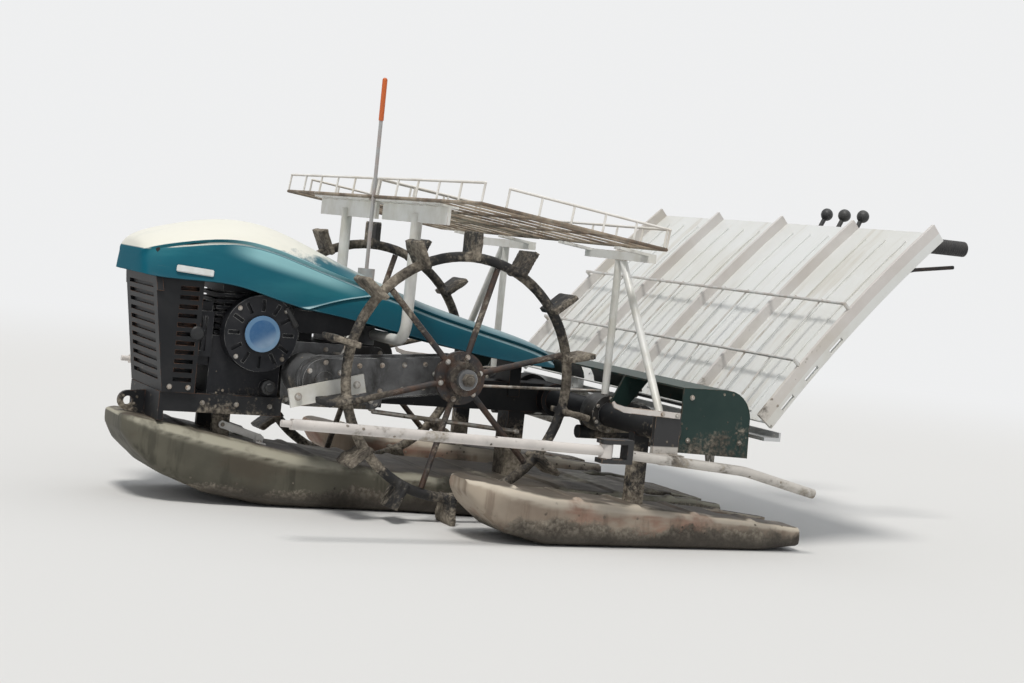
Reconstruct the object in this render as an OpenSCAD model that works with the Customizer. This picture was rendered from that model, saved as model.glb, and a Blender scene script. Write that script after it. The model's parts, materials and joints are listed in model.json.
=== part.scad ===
// Walk-behind rice transplanter for four rows, parked on its three floats and two lug wheels.
// +X is the way it travels, +Y its left side, +Z up. The floor under the floats is z = 0.

/* [Wheels] */
// Diameter over the tips of the lugs
wheel_d = 660; // [620:5:670]
// Distance between the two wheels' middle planes
wheel_tread = 600; // [590:5:620]
// Place of the wheel's rear end along the machine, arms raised
wheel_back = 42; // [40:1:46]
// Number of lugs on a wheel
lug_count = 14; // [10:2:16]
// Width of a lug across the wheel
lug_w = 84; // [60:2:90]
// Height of a lug from rim to tip
lug_h = 46; // [30:1:60]
// Thickness of a lug
lug_t = 14; // [8:1:20]
// Diameter of the rim's round section
rim_d = 24; // [18:1:30]
// Number of spokes
spoke_count = 6; // [4:1:8]
// Diameter of a spoke
spoke_d = 14; // [10:1:18]
// Diameter of the hub
hub_d = 76; // [60:1:90]
// Diameter of the axle that carries a wheel
axle_d = 26; // [20:1:32]

/* [Swing arms] */
// Place of the swing arms' pivot along the machine
pivot_x = 670; // [664:1:674]
// Height of the swing arms' pivot
pivot_z = 299; // [296:1:304]
// Thickness of a swing arm's case
arm_t = 44; // [36:1:46]
// Diameter of the case round the pivot
arm_pivot_d = 100; // [92:1:104]
// Diameter of the case round the axle
arm_axle_d = 84; // [70:1:92]
// Diameter of the stub shaft that a swing arm turns on
pivot_d = 44; // [36:1:50]

/* [Floats] */
// Width of the centre float
centre_float_w = 440; // [380:5:450]
// Width of a side float
side_float_w = 196; // [160:2:200]
// Distance between the side floats' middle lines
side_float_tread = 950; // [945:5:1000]
// Width of the slot in a float where a row is planted
row_slot_w = 56; // [40:2:64]

/* [Rows] */
// Distance between two planted rows
row_pitch = 300; // [290:5:300]

/* [Engine and gearbox] */
// Length of the engine's block along the machine
engine_l = 165; // [150:5:170]
// Width of the engine's block
engine_w = 210; // [190:5:230]
// Place of the crankshaft along the machine
crank_x = 790; // [780:1:800]
// Height of the crankshaft
crank_z = 386; // [380:1:392]
// Diameter of the recoil starter's cover
starter_d = 170; // [150:2:176]
// Width of the gearbox
gearbox_w = 280; // [250:5:290]
// Thickness of the engine bed's plate
bed_t = 8; // [6:1:10]
// Side of the square main beam
beam_side = 70; // [60:1:76]

/* [Hood] */
// Wall of the hood
hood_t = 4; // [3:0.5:6]

/* [Seedling tray] */
// Width of the tray over its side walls
tray_w = 1240; // [1220:5:1240]
// Length of the tray up its slope
tray_l = 630; // [600:5:640]
// Mean slope of the tray
tray_slope = 47.5; // [46:0.5:49]
// Angle by which its slope falls from the lower to the upper end
tray_bend = 10; // [6:0.5:12]
// Thickness of the tray's floor
tray_t = 6; // [4:0.5:8]
// Height of the walls between the lanes, above the floor
lane_wall_h = 25; // [20:1:36]
// Thickness of the walls between the lanes
lane_wall_t = 10; // [8:1:16]
// Travel of the tray to each side
tray_travel = 140; // [120:5:140]

/* [Racks] */
// Length of a spare rack along the machine
rack_l = 455; // [440:5:460]
// Width of a spare rack
rack_w = 585; // [560:5:600]
// Height of a rack's rails above its floor
rail_h = 44; // [36:1:60]
// Slope of the racks, front end up
rack_slope = 7; // [6:0.5:8]
// Diameter of the racks' edge wires
edge_wire_d = 8; // [6:0.5:10]
// Diameter of the racks' thin wires
thin_wire_d = 5; // [4:0.5:6]
// Diameter of the posts' tube
post_d = 26; // [22:1:28]
// Distance between the two posts
post_tread = 436; // [430:2:440]

/* [Markers and guards] */
// Distance between the two side tubes
side_tread = 1250; // [1240:5:1270]
// Diameter of the side tubes and the markers
side_tube_d = 22; // [18:1:25]
// Length of a folded line marker
marker_l = 735; // [650:5:760]
// Height of the centre marker's tip
pole_top_z = 996; // [960:2:1040]

/* [Handles] */
// Distance between the two handle tubes
handle_tread = 460; // [450:2:466]
// Diameter of the handle tubes
handle_d = 32; // [28:1:34]
// Diameter of a grip
grip_d = 40; // [36:1:44]
// Length of a grip
grip_l = 125; // [110:5:140]

/* [Hidden] */
$fn = 32;

// Clearances: fit between a shaft and its bore, seat between pieces that rest on each other
fit = 0.1;
seat = 0.3;

// Wheels and arms
axle_x = wheel_back + wheel_d / 2;
axle_z = wheel_d / 2;
wheel_y = wheel_tread / 2;
arm_l = norm([pivot_x - axle_x, axle_z - pivot_z]);
lug_in = 8;
rim_r = wheel_d / 2 - lug_h - rim_d / 2;
hub_l = 70;
arm_gap = 6;
pivot_end = 5;
arm_out = wheel_y - lug_w / 2 - 18;
arm_in = arm_out - arm_t;

// Gearbox, beam and the pipe across the planting section
gearbox_front = pivot_x + arm_pivot_d / 2;
engine_rear = gearbox_front + 8;
gearbox_rear = 470;
gearbox_core = 100;
gearbox_low = 226;
gearbox_top = 372;
cross_x = -5;
cross_z = 270;
cross_d = 56;
case_d = 88;
beam_z = cross_z;
case_y = row_pitch;
case_t = 60;
crank_shaft_x = -95;
crank_shaft_z = 262;
crank_shaft_d = 22;
rows = [-1.5, -0.5, 0.5, 1.5] * row_pitch;
arm_body_t = 34;
crank_t = 28;

// Engine bed
bed_top = 244;
bed_front = 1002;
bed_w = 240;
tow_x = bed_front + 38;
tow_z = 208;
tow_t = 12;
tow_bore = 20;

// Hood: place, top height, shoulder height, lower edge, half width at the shoulder and at the edge
hood_x = 0;
hood_top = 1;
hood_shoulder = 2;
hood_low = 3;
hood_sw = 4;
hood_lw = 5;
hood_rows = [
  [1062, 574, 552, 498, 104, 122],
  [1034, 592, 563, 494, 120, 138],
  [960, 613, 580, 493, 130, 148],
  [865, 634, 594, 494, 134, 152],
  [774, 630, 580, 468, 135, 153],
  [700, 606, 556, 450, 134, 152],
  [600, 564, 528, 438, 128, 146],
  [480, 519, 494, 416, 120, 138],
  [360, 480, 460, 392, 112, 128],
  [230, 447, 430, 370, 102, 116],
  [125, 424, 408, 358, 92, 104],
  [45, 402, 388, 352, 80, 90],
  [12, 380, 370, 350, 66, 76]
];

// Tray: the lower edge of its floor
tray_x = -242;
tray_z = 302;
tray_r = tray_l / (tray_bend * PI / 180);
lanes = 4;
side_wall_down = 22;
rail_z = 262;
gate_x = -272;
gate_w = 44;
gate_t = 8;
gate_lip = 5;
shoe_y = 300;
upper_rail_at = 400;
upper_rail_drop = side_wall_down + 5;

// Racks
rack_x = 50;
rack_z = 662;
rack_inner = 12;
post_x = 478;
post_foot_z = 396;
post_bend = 46;
stay_x = cross_x;
stay_d = 18;
saddle_w = 60;

// Side tubes, markers and guards
side_y = side_tread / 2;
marker_x = 163;
marker_z = 222;
guard_path = [[118, 216], [-195, 190], [-388, 145]];
marker_pin_d = 12;

// Handles
handle_z = 216;
handle_y = handle_tread / 2;
grip_end_x = -1070;
grip_z = 745;
grip_wall = 25;
handle_path = [[20, 216], [-330, 216], [-897, 745], [-1044, 745]];
handle_r = 110;
console_x = -800;
bar_d = 26;

// Colours
teal = [0.03, 0.33, 0.38];
black = [0.07, 0.07, 0.08];
rubber = [0.05, 0.05, 0.05];
white = [0.86, 0.88, 0.88];
cast = [0.6, 0.62, 0.63];
dark_green = [0.05, 0.14, 0.13];
mud = [0.62, 0.57, 0.5];

// Points along an arc in a plane, angles in degrees
function arc(c, r, from, to, n) =
  [for (i = [0:n]) let (a = from + (to - from) * i / n) c + r * [cos(a), sin(a)]];
function unit(v) = v / norm(v);
// Height of the handles' sloping part at a place along the machine
function handle_at(x) = lookup(x, [handle_path[2], handle_path[1]]);
// The path with each inner corner turned into an arc of radius r
function rounded(p, r, n = 5) = [
  for (i = [0:len(p) - 1])
    if (i == 0 || i == len(p) - 1) p[i]
    else let (
      a = unit(p[i - 1] - p[i]), b = unit(p[i + 1] - p[i]), half = acos(a * b) / 2,
      c = p[i] + unit(a + b) * r / sin(half), start = p[i] + a * r / tan(half),
      end = p[i] + b * r / tan(half), u = start - c, w = end - c
    ) each [for (k = [0:n]) c + unit(u * (n - k) + w * k) * r]
];

// A solid through rings of equally many points
module skin(rings) {
  n = len(rings[0]);
  m = len(rings);
  points = [for (ring = rings) each ring];
  sides = [for (j = [0:m - 2], i = [0:n - 1]) let (a = j * n + i, b = j * n + (i + 1) % n)
    each [[a, b, b + n], [a, b + n, a + n]]];
  polyhedron(points, concat(sides, [[for (i = [n - 1:-1:0]) i]], [[for (i = [0:n - 1]) (m - 1) * n + i]]));
}

// A round bar from one point to another
module rod(from, to, d) {
  v = to - from;
  translate(from)
    rotate([0, acos(v.z / norm(v)), atan2(v.y, v.x)]) cylinder(h = norm(v), d = d);
}

// A round tube along points that lie in one plane with that normal
module bent_tube(path, d, normal, sides = 12) {
  m = len(path);
  skin([for (i = [0:m - 1]) let (
    t = unit(path[min(i + 1, m - 1)] - path[max(i - 1, 0)]), u = cross(t, normal)
  ) [for (k = [0:sides - 1]) let (a = 360 * k / sides) path[i] + d / 2 * (cos(a) * u + sin(a) * normal)]]);
}

// A profile drawn in X and Z, extruded across the machine between two places in Y
module across(from, to) {
  translate([0, to, 0]) rotate([90, 0, 0]) linear_extrude(height = to - from) children();
}

// What is drawn for the left side, put on the right
module on_right() {
  mirror([0, 1, 0]) children();
}

// A round bar across the machine
module shaft(x, z, d, from, to) {
  translate([x, from, z]) rotate([-90, 0, 0]) cylinder(h = to - from, d = d);
}

// Hood

function hood_ring(r, wall, down) = let (
  sw = r[hood_sw] - wall, lw = r[hood_lw] - wall, top = r[hood_top] - wall,
  shoulder = r[hood_shoulder] - wall / 2, low = r[hood_low] - down, lean = 62, n = 8
) concat(
  [[r[hood_x], lw, low]],
  [for (i = [0:n]) let (a = lean - 2 * lean * i / n)
    [r[hood_x], sw * sin(a) / sin(lean), shoulder + (top - shoulder) * (cos(a) - cos(lean)) / (1 - cos(lean))]],
  [[r[hood_x], -lw, low]]
);

module hood_form() {
  skin([for (r = hood_rows) hood_ring(r, 0, 0)]);
}

// The space under the hood, which its wall stands round
module hood_void(gap = 0) {
  skin([for (i = [0:len(hood_rows) - 1]) let (r = hood_rows[i], last = len(hood_rows) - 1)
    hood_ring(concat([r[0] - (i == 0 ? hood_t : 0) + (i == last ? hood_t : 0)],
      [for (k = [1:5]) r[k]]), hood_t + gap, 30)]);
}

module hood() {
  color(teal) difference() {
    hood_form();
    hood_void();
  }
}

module front_grille() {
  panel_x = 1000;
  panel_lean = 8;
  panel_t = 14;
  half = 128;
  wing_l = 74;
  wing_t = 6;
  slot_pitch = 20;
  slot_h = 9;
  tall = 400;
  top_x = panel_x + tall * tan(panel_lean);
  color(black) difference() {
    intersection() {
      union() {
        across(-200, 200)
          polygon([[panel_x - panel_t, bed_top], [panel_x, bed_top], [top_x, bed_top + tall],
            [top_x - panel_t, bed_top + tall]]);
        for (y = [-half, half - wing_t])
          across(y, y + wing_t)
            polygon([[panel_x - wing_l, bed_top], [panel_x, bed_top], [top_x, bed_top + tall],
              [panel_x - wing_l, bed_top + tall]]);
      }
      union() {
        hood_void(seat);
        translate([panel_x - wing_l - 1, -half, bed_top]) cube([wing_l + 60, 2 * half, 250]);
      }
    }
    for (i = [0:10]) {
      translate([panel_x - panel_t + 6 + (24 + i * slot_pitch) * tan(panel_lean), -100,
        bed_top + 24 + i * slot_pitch])
          cube([panel_t, 200, slot_h]);
      translate([panel_x - wing_l + 10, -half - 1, bed_top + 24 + i * slot_pitch])
        cube([wing_l - panel_t - 18, 2 * half + 2, slot_h]);
    }
  }
}

// Engine

module engine() {
  low = bed_top;
  crankcase_h = 130;
  fins = 7;
  fin_pitch = 14;
  core = 34;
  cover_h = 24;
  carb_l = 60;
  color(black) difference() {
    union() {
      translate([engine_rear, -engine_w / 2, low]) cube([engine_l, engine_w, crankcase_h]);
      for (i = [0:fins - 1])
        translate([engine_rear + 10, -engine_w / 2 + 14, low + crankcase_h + 2 + i * fin_pitch])
          cube([engine_l - 20, engine_w - 28, fin_pitch / 2]);
      translate([engine_rear + core, -engine_w / 2 + core, low + crankcase_h - 1])
        cube([engine_l - 2 * core, engine_w - 2 * core, fins * fin_pitch + 1]);
      // Rocker cover and carburettor
      translate([engine_rear + core - 8, -engine_w / 2 + core - 8, low + crankcase_h + fins * fin_pitch - 1])
        cube([engine_l - 2 * core + 16, engine_w - 2 * core + 16, cover_h]);
      translate([engine_rear + engine_l - 12, -70, low + crankcase_h - 20]) rotate([0, 90, 0])
        cylinder(h = carb_l, d = 44);
      translate([engine_rear + engine_l + carb_l / 2 - 12, -70, low + crankcase_h - 62]) cylinder(h = 50, d = 40);
      // Oil filler at the foot of the crankcase
      translate([engine_rear + 30, engine_w / 2 - 1, low + 22]) rotate([-90, 0, 0]) cylinder(h = 20, d = 30);
    }
    shaft(crank_x, crank_z, starter_d - 30, engine_w / 2 - 12, engine_w / 2 + 40);
  }
}

module recoil_starter() {
  deep = 34;
  cap_d = 76;
  color(black) difference() {
    union() {
      shaft(crank_x, crank_z, starter_d, engine_w / 2 + seat, engine_w / 2 + deep);
      shaft(crank_x, crank_z, starter_d - 34, engine_w / 2 - 11, engine_w / 2 + 4);
      shaft(crank_x, crank_z, cap_d, engine_w / 2 + deep, engine_w / 2 + deep + 8);
    }
    for (i = [0:11])
      translate([crank_x, engine_w / 2 + deep - 6, crank_z]) rotate([0, i * 30, 0])
        translate([50, 0, -4]) cube([26, 20, 8]);
  }
}

module air_cleaner() {
  case_l = 78;
  case_h = 140;
  corner = 16;
  color(black) translate([engine_rear + engine_l + seat, -20, bed_top + 62]) difference() {
    union() {
      rotate([-90, 0, 0]) translate([0, -case_h, 0]) linear_extrude(height = 120)
        polygon([[0, 0], [case_l - corner, 0], [case_l, corner], [case_l, case_h - corner],
          [case_l - corner, case_h], [0, case_h]]);
      translate([-0, 120, 20]) cube([case_l - 12, 14, case_h - 40]);
    }
    for (i = [0:4])
      translate([14 + i * 10, 130, 32]) cube([5, 10, case_h - 64]);
  }
}

module muffler() {
  color([0.35, 0.33, 0.32]) difference() {
    shaft(crank_x + 30, crank_z + 20, 92, -engine_w / 2 - 50, -engine_w / 2 - seat);
    for (i = [0:4])
      shaft(crank_x + 30 - 24 + i * 12, crank_z + 20, 6, -engine_w / 2 - 60, -engine_w / 2 - 42);
  }
}

module engine_bed() {
  rear = gearbox_front + seat;
  low = bed_top - bed_t - seat;
  web = 34;
  color(black) difference() {
    union() {
      translate([rear, -bed_w / 2, low]) cube([bed_front - rear, bed_w, bed_t]);
      for (s = [-1, 1])
        translate([rear, s * (bed_w / 2 - 20) - 20, low - web]) cube([bed_front - rear, 40, web + 1]);
      translate([bed_front - 12, -bed_w / 2, low - 56]) cube([12, bed_w, 56 + bed_t]);
      // Tow eye
      across(-tow_t / 2, tow_t / 2)
        polygon(concat([[bed_front - 1, 180], [bed_front - 1, 234]],
          arc([tow_x, tow_z], 22, 80, -80, 8)));
    }
    for (s = [-1, 1])
      translate([rear - 1, s * (bed_w / 2 - 20) - 16, low - web - 5]) cube([bed_front - rear - 20, 32, web + 5]);
    shaft(tow_x, tow_z, tow_bore, -20, 20);
  }
}

// Gearbox, beam and drive

module gearbox() {
  half = gearbox_w / 2;
  corner = 26;
  color(cast) {
    difference() {
      union() {
        across(-gearbox_core, gearbox_core)
          polygon(concat(
            arc([gearbox_rear + corner, gearbox_low + corner], corner, 180, 270, 4),
            arc([gearbox_front - corner, gearbox_low + corner], corner, 270, 360, 4),
            arc([gearbox_front - corner, gearbox_top - corner], corner, 0, 90, 4),
            arc([gearbox_rear + corner, gearbox_top - corner], corner, 90, 180, 4)));
        shaft(pivot_x, pivot_z, arm_pivot_d, -arm_in + arm_gap, arm_in - arm_gap);
        for (s = [-1, 1]) {
          translate([560, s * (gearbox_core - 1), 300]) rotate([-90 * s, 0, 0])
            cylinder(h = half - gearbox_core, d = 96);
          translate([510, s * (gearbox_core - 1), 276]) rotate([-90 * s, 0, 0])
            cylinder(h = half - gearbox_core - 10, d = 70);
        }
        translate([gearbox_rear + 6, -saddle_w / 2, gearbox_top - 1])
          cube([46, saddle_w, post_foot_z + 20 - gearbox_top]);
      }
    }
    for (s = [-1, 1])
      translate([pivot_x, s * (arm_in - arm_gap - 1), pivot_z])
        rotate([-90 * s, 0, 0]) cylinder(h = arm_t + arm_gap + 1 + pivot_end, d = pivot_d);
  }
}

// Fuel tank on two feet over the gearbox
module fuel_tank() {
  rear = 532;
  front = 704;
  low = gearbox_top + 20;
  top = 506;
  half = 98;
  r = 26;
  color(black) {
    across(-half, half) polygon(concat(
      arc([rear + r, low + r], r, 180, 270, 4), arc([front - r, low + r], r, 270, 360, 4),
      arc([front - r, top - r + 14], r, 0, 84, 4), arc([rear + r, top - r - 14], r, 84, 180, 4)));
    // Seam where its halves are joined
    across(-half - 6, half + 6) polygon([[rear - 5, low + 46], [front + 5, low + 52],
      [front + 5, low + 56], [rear - 5, low + 50]]);
    for (x = [rear + 30, front - 62])
      translate([x, -60, gearbox_top + seat]) cube([32, 120, low - gearbox_top]);
    translate([rear + 96, 0, top - 20]) cylinder(h = 40, d = 54);
  }
}

// Shaft that drives the planting section, with a joint at each end and the bevel case on the cross pipe
module drive_shaft() {
  y = -90;
  z = cross_z;
  case_w = 40;
  joint_l = 46;
  front = gearbox_rear - seat;
  rear = cross_x + cross_d / 2 + 24;
  color(black) difference() {
    union() {
      translate([rear - 2, y, z]) rotate([0, 90, 0]) cylinder(h = front - rear + 2, d = 24);
      for (x = [front - 26, rear])
        translate([x, y, z]) rotate([0, 90, 0]) cylinder(h = 26, d = 52);
      for (x = [front - 26 - joint_l, rear + 25])
        translate([x, y, z]) {
          translate([0, -17, -11]) cube([joint_l + 1, 34, 22]);
          translate([0, -11, -17]) cube([joint_l + 1, 22, 34]);
        }
      translate([rear + 180, y, z]) rotate([0, 90, 0]) cylinder(h = 130, d = 36);
      shaft(cross_x, cross_z, cross_d + 44, y - case_w / 2, y + case_w / 2);
      translate([cross_x + 10, y - case_w / 2, z - 30]) cube([rear - cross_x - 10, case_w, 60]);
    }
    shaft(cross_x, cross_z, cross_d + 2 * fit, y - case_w, y + case_w);
  }
}

module main_beam() {
  half = beam_side / 2;
  color(black) difference() {
    union() {
      translate([cross_x, -half, beam_z - half]) cube([gearbox_rear - cross_x - seat, beam_side, beam_side]);
      translate([gearbox_rear - 16, -60, beam_z - 42]) cube([16 - seat, 120, 92]);
      shaft(cross_x, cross_z, cross_d + 24, -62, 62);
      translate([86, -40, beam_z]) cube([30, 80, 60]);
      intersection() {
        translate([86, -40, beam_z + 56]) cube([30, 80, 100]);
        hood_void(seat);
      }
    }
    shaft(cross_x, cross_z, cross_d + 2 * fit, -90, 90);
  }
}

// Swing arms and wheels, drawn for the left side

module swing_arm() {
  a = [pivot_x, pivot_z];
  b = [axle_x, axle_z];
  ra = arm_pivot_d / 2;
  rb = arm_axle_d / 2;
  // The case's straight sides run just inside both round ends
  lean = asin((ra - rb) / arm_l);
  rim = 1.5;
  flange = 6;
  middle = (arm_in + arm_out) / 2;
  away = atan2(b.y - a.y, b.x - a.x);
  up = away - 90 + lean;
  down = away + 90 - lean;
  color(cast) difference() {
    union() {
      shaft(a.x, a.y, arm_pivot_d, arm_in, arm_out);
      shaft(b.x, b.y, arm_axle_d, arm_in, arm_out);
      across(arm_in, arm_out)
        polygon([a + (ra - rim) * [cos(up), sin(up)], b + (rb - rim) * [cos(up), sin(up)],
          b + (rb - rim) * [cos(down), sin(down)], a + (ra - rim) * [cos(down), sin(down)]]);
      // Flange where the case's two halves meet
      shaft(a.x, a.y, arm_pivot_d + 2 * flange, middle - 3, middle + 3);
      shaft(b.x, b.y, arm_axle_d + 2 * flange, middle - 3, middle + 3);
      across(middle - 3, middle + 3)
        polygon([a + (ra + flange - rim) * [cos(up), sin(up)], b + (rb + flange - rim) * [cos(up), sin(up)],
          b + (rb + flange - rim) * [cos(down), sin(down)], a + (ra + flange - rim) * [cos(down), sin(down)]]);
      shaft(b.x, b.y, 52, arm_out - 1, wheel_y - hub_l / 2 - seat);
      shaft(b.x, b.y, axle_d, arm_out - 1, wheel_y + hub_l / 2 + 6);
      shaft(b.x, b.y, 46, wheel_y + hub_l / 2 + seat, wheel_y + hub_l / 2 + 12);
    }
    shaft(a.x, a.y, pivot_d + 2 * fit, arm_in - 1, arm_out + 1);
  }
}

// Plate that holds the arm on its stub shaft
module pivot_plate() {
  plate_l = 178;
  plate_h = 42;
  plate_t = 6;
  drop = 20;
  lean = 14;
  color(white) translate([pivot_x - 6, arm_out + pivot_end + seat, pivot_z - drop]) rotate([0, lean, 0])
    translate([-plate_l / 2, 0, -plate_h / 2]) difference() {
      cube([plate_l, plate_t, plate_h]);
      for (x = [20, plate_l - 20])
        translate([x, -1, plate_h / 2]) rotate([-90, 0, 0]) cylinder(h = plate_t + 2, d = 10);
    }
}

module wheel() {
  color(rubber) difference() {
    union() {
      translate([axle_x, wheel_y, axle_z]) rotate([90, 0, 0])
        rotate_extrude($fn = 96) translate([rim_r, 0]) circle(d = rim_d, $fn = 24);
      for (i = [0:lug_count - 1])
        translate([axle_x, wheel_y, axle_z]) rotate([0, 90 + i * 360 / lug_count, 0])
          translate([rim_r - lug_in, -lug_w / 2, -lug_t / 2])
            cube([wheel_d / 2 - rim_r + lug_in, lug_w, lug_t]);
    }
  }
}

module hub() {
  color([0.2, 0.2, 0.21]) difference() {
    union() {
      shaft(axle_x, axle_z, hub_d, wheel_y - hub_l / 2, wheel_y + hub_l / 2);
      shaft(axle_x, axle_z, hub_d + 44, wheel_y - 6, wheel_y + 6);
      for (i = [0:spoke_count - 1])
        translate([axle_x, wheel_y, axle_z]) rotate([0, 15 + i * 360 / spoke_count, 0])
          rotate([0, 90, 0]) translate([0, 0, hub_d / 2 - 6])
            cylinder(h = rim_r - rim_d / 2 - hub_d / 2 + 6 - seat, d = spoke_d);
    }
    shaft(axle_x, axle_z, axle_d + 2 * fit, 0, 2 * wheel_y);
  }
}

// Floats: rings of a rounded box, and slots where the rows are planted

function float_ring(x, w, low, top) = let (h = top - low, r = min(h, w) * 0.3) [for (c = [
  [w / 2 - r, low + r, -90], [w / 2 - r, top - r, 0], [-w / 2 + r, top - r, 90], [-w / 2 + r, low + r, 180]
]) for (k = [0:3]) let (a = c[2] + k * 30) [x, c[0] + r * cos(a), c[1] + r * sin(a)]];

// Place, share of the width, underside and top of the floats
centre_float_rows = [
  [1070, 0.34, 150, 184], [1045, 0.5, 112, 186], [985, 0.62, 62, 176], [880, 0.7, 22, 158],
  [760, 0.76, 2, 134], [700, 0.78, 0, 122], [430, 0.84, 0, 92], [260, 1, 0, 82], [-330, 1, 0, 60], [-420, 0.98, 10, 48]
];
side_float_rows = [
  [432, 0.5, 104, 132], [405, 0.74, 70, 134], [345, 0.92, 24, 124], [250, 1, 0, 108],
  [-300, 1, 0, 66], [-410, 0.96, 12, 54]
];

module float_body(table, w, y, slots) {
  color(mud) difference() {
    translate([0, y, 0]) skin([for (r = table) float_ring(r[0], r[1] * w, r[2], r[3])]);
    for (s = slots)
      translate([-500, s - row_slot_w / 2, -10]) cube([270, row_slot_w, 200]);
  }
}

// Height of a float's top at a place along it
function float_top(table, x) = lookup(x, [for (r = table) [r[0], r[3]]]);

// A link that stands on a float, from one place to another, up to a height
module float_link(table, from, to, y, t, up) {
  across(y - t / 2, y + t / 2)
    polygon([[from, float_top(table, from) + seat], [to, float_top(table, to) + seat], [to, up], [from, up]]);
}

module float_links() {
  color(black) {
    for (s = [-1, 1])
      float_link(centre_float_rows, 820, 860, s * 60, 12, bed_top - bed_t - 2 * seat);
    float_link(centre_float_rows, 60, 104, 0, 60, beam_z - beam_side / 2 - seat);
    difference() {
      for (s = [-1, 1])
        float_link(side_float_rows, cross_x - 20, cross_x + 20, s * side_float_tread / 2, 24, cross_z);
      shaft(cross_x, cross_z, cross_d + 2 * seat, -side_y, side_y);
    }
  }
}

// Planting section

module cross_pipe() {
  color(black) shaft(cross_x, cross_z, cross_d, -side_y + 32, side_y - 32);
}

module planting_case() {
  low = case_y - case_t / 2;
  high = case_y + case_t / 2;
  inner = row_pitch / 2 + arm_body_t / 2 + crank_t;
  outer = 1.5 * row_pitch - arm_body_t / 2 - crank_t;
  color(cast) difference() {
    union() {
      shaft(cross_x, cross_z, case_d, low, high);
      shaft(crank_shaft_x, crank_shaft_z, 66, low, high);
      across(low, high) polygon([[cross_x, cross_z + case_d / 2 - 2], [crank_shaft_x, crank_shaft_z + 32],
        [crank_shaft_x, crank_shaft_z - 32], [cross_x, cross_z - case_d / 2 + 2]]);
      shaft(crank_shaft_x, crank_shaft_z, crank_shaft_d, inner, outer);
    }
    shaft(cross_x, cross_z, cross_d + 2 * fit, 0, side_y);
  }
}

// One planting arm, its crank side facing the case
module planting_arm(y, to_case) {
  pin = [crank_shaft_x + 34, crank_shaft_z - 24];
  heel = [crank_shaft_x + 30, crank_shaft_z + 4];
  toe = [crank_shaft_x - 92, crank_shaft_z + 6];
  claw_tip = [crank_shaft_x - 124, crank_shaft_z - 78];
  low = y - arm_body_t / 2;
  high = y + arm_body_t / 2;
  color([0.75, 0.74, 0.7]) {
    across(low, high) polygon(concat(arc(pin, 26, -105, 75, 6), arc(toe, 17, 75, 255, 6)));
    // Head, and the two prongs of the claw
    across(y - 14, y + 14) polygon([toe + [-16, 4], toe + [-2, -14], toe + [-14, -34], toe + [-32, -26], toe + [-24, -6]]);
    for (side = [-14, 6])
      across(y + side, y + side + 8) polygon([toe + [-14, -30], claw_tip + [6, 0], claw_tip, toe + [-31, -22]]);
    across(to_case > 0 ? high - 1 : low - crank_t, to_case > 0 ? high + crank_t : low + 1)
      polygon(concat(arc([crank_shaft_x, crank_shaft_z], 24, 55, 235, 6), arc(pin, 18, -125, 55, 6)));
  }
}

module planting_arms() {
  planting_arm(row_pitch / 2, 1);
  planting_arm(1.5 * row_pitch, -1);
}

module planting_cover() {
  t = 4;
  top = 366;
  front = -32;
  bend = [-147, top - 66];
  half = 600;
  shape = concat([[front, top - t], [front, top]], arc(bend, 66, 90, 172, 6), arc(bend, 66 - t, 172, 90, 6));
  color(dark_green) difference() {
    union() {
      across(-half, half) polygon(shape);
      for (y = [-half, half - t])
        across(y, y + t) polygon(concat([[front, 222], [front, top]], arc(bend, 66, 90, 172, 6), [[-216, 216]]));
      // Gussets that stand on the cross pipe beside the planting cases
      for (y = [-1, 1] * (case_y + case_t / 2 + 8))
        across(y - 3, y + 3)
          polygon([[cross_x + 14, cross_z + 12], [front, top], [front - 70, top - 2], [cross_x - 32, cross_z + 12]]);
    }
    for (y = rows)
      translate([-260, y - 30, 180]) cube([120, 60, 160]);
    shaft(cross_x, cross_z, cross_d + 2 * seat, -half, half);
  }
}

module gate_rail() {
  half = tray_w / 2 + 20;
  notch_w = 24;
  post_h = rail_z - handle_z;
  color(cast) difference() {
    union() {
      translate([gate_x, -half, rail_z]) cube([gate_w, 2 * half, gate_t]);
      translate([gate_x, -half, rail_z]) cube([gate_lip, 2 * half, 20]);
      for (s = [-1, 1])
        translate([gate_x + 8, s * handle_y - 14, handle_z]) cube([30, 28, post_h + 1]);
    }
    for (y = rows)
      translate([gate_x + 26, y - notch_w / 2, rail_z - 1]) cube([gate_w, notch_w, gate_t + 2]);
    for (s = [-1, 1])
      translate([gate_x - 10, s * handle_y, handle_z]) rotate([0, 90, 0])
        cylinder(h = gate_w + 20, d = handle_d + 2 * seat);
  }
}

// Seedling tray: an arc, steeper at its lower end

// Slope of the tray at a distance up it
function tray_angle(u) = tray_slope + tray_bend * (0.5 - u / tray_l);
// Point at a distance up the tray and a height off its floor
function tray_pt(u, h) = let (first = tray_angle(0), s = tray_angle(u))
  [tray_x, tray_z] + (tray_r + h) * [sin(s), cos(s)] - tray_r * [sin(first), cos(first)];
function tray_line(h, from, to, n = 8) = [for (i = [0:n]) tray_pt(from + (to - from) * i / n, h)];

// Side outline of a strip along the tray between two heights off its floor
module tray_strip(low, high, from = 0, to = tray_l, n = 8) {
  polygon(concat(tray_line(low, from, to, n), tray_line(high, to, from, n)));
}

// Places what is drawn with x up the slope and z off the floor
module on_tray(u) {
  p = tray_pt(u, 0);
  translate([p.x, 0, p.y]) rotate([0, tray_angle(u), 0]) rotate([0, 0, 180]) children();
}

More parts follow.
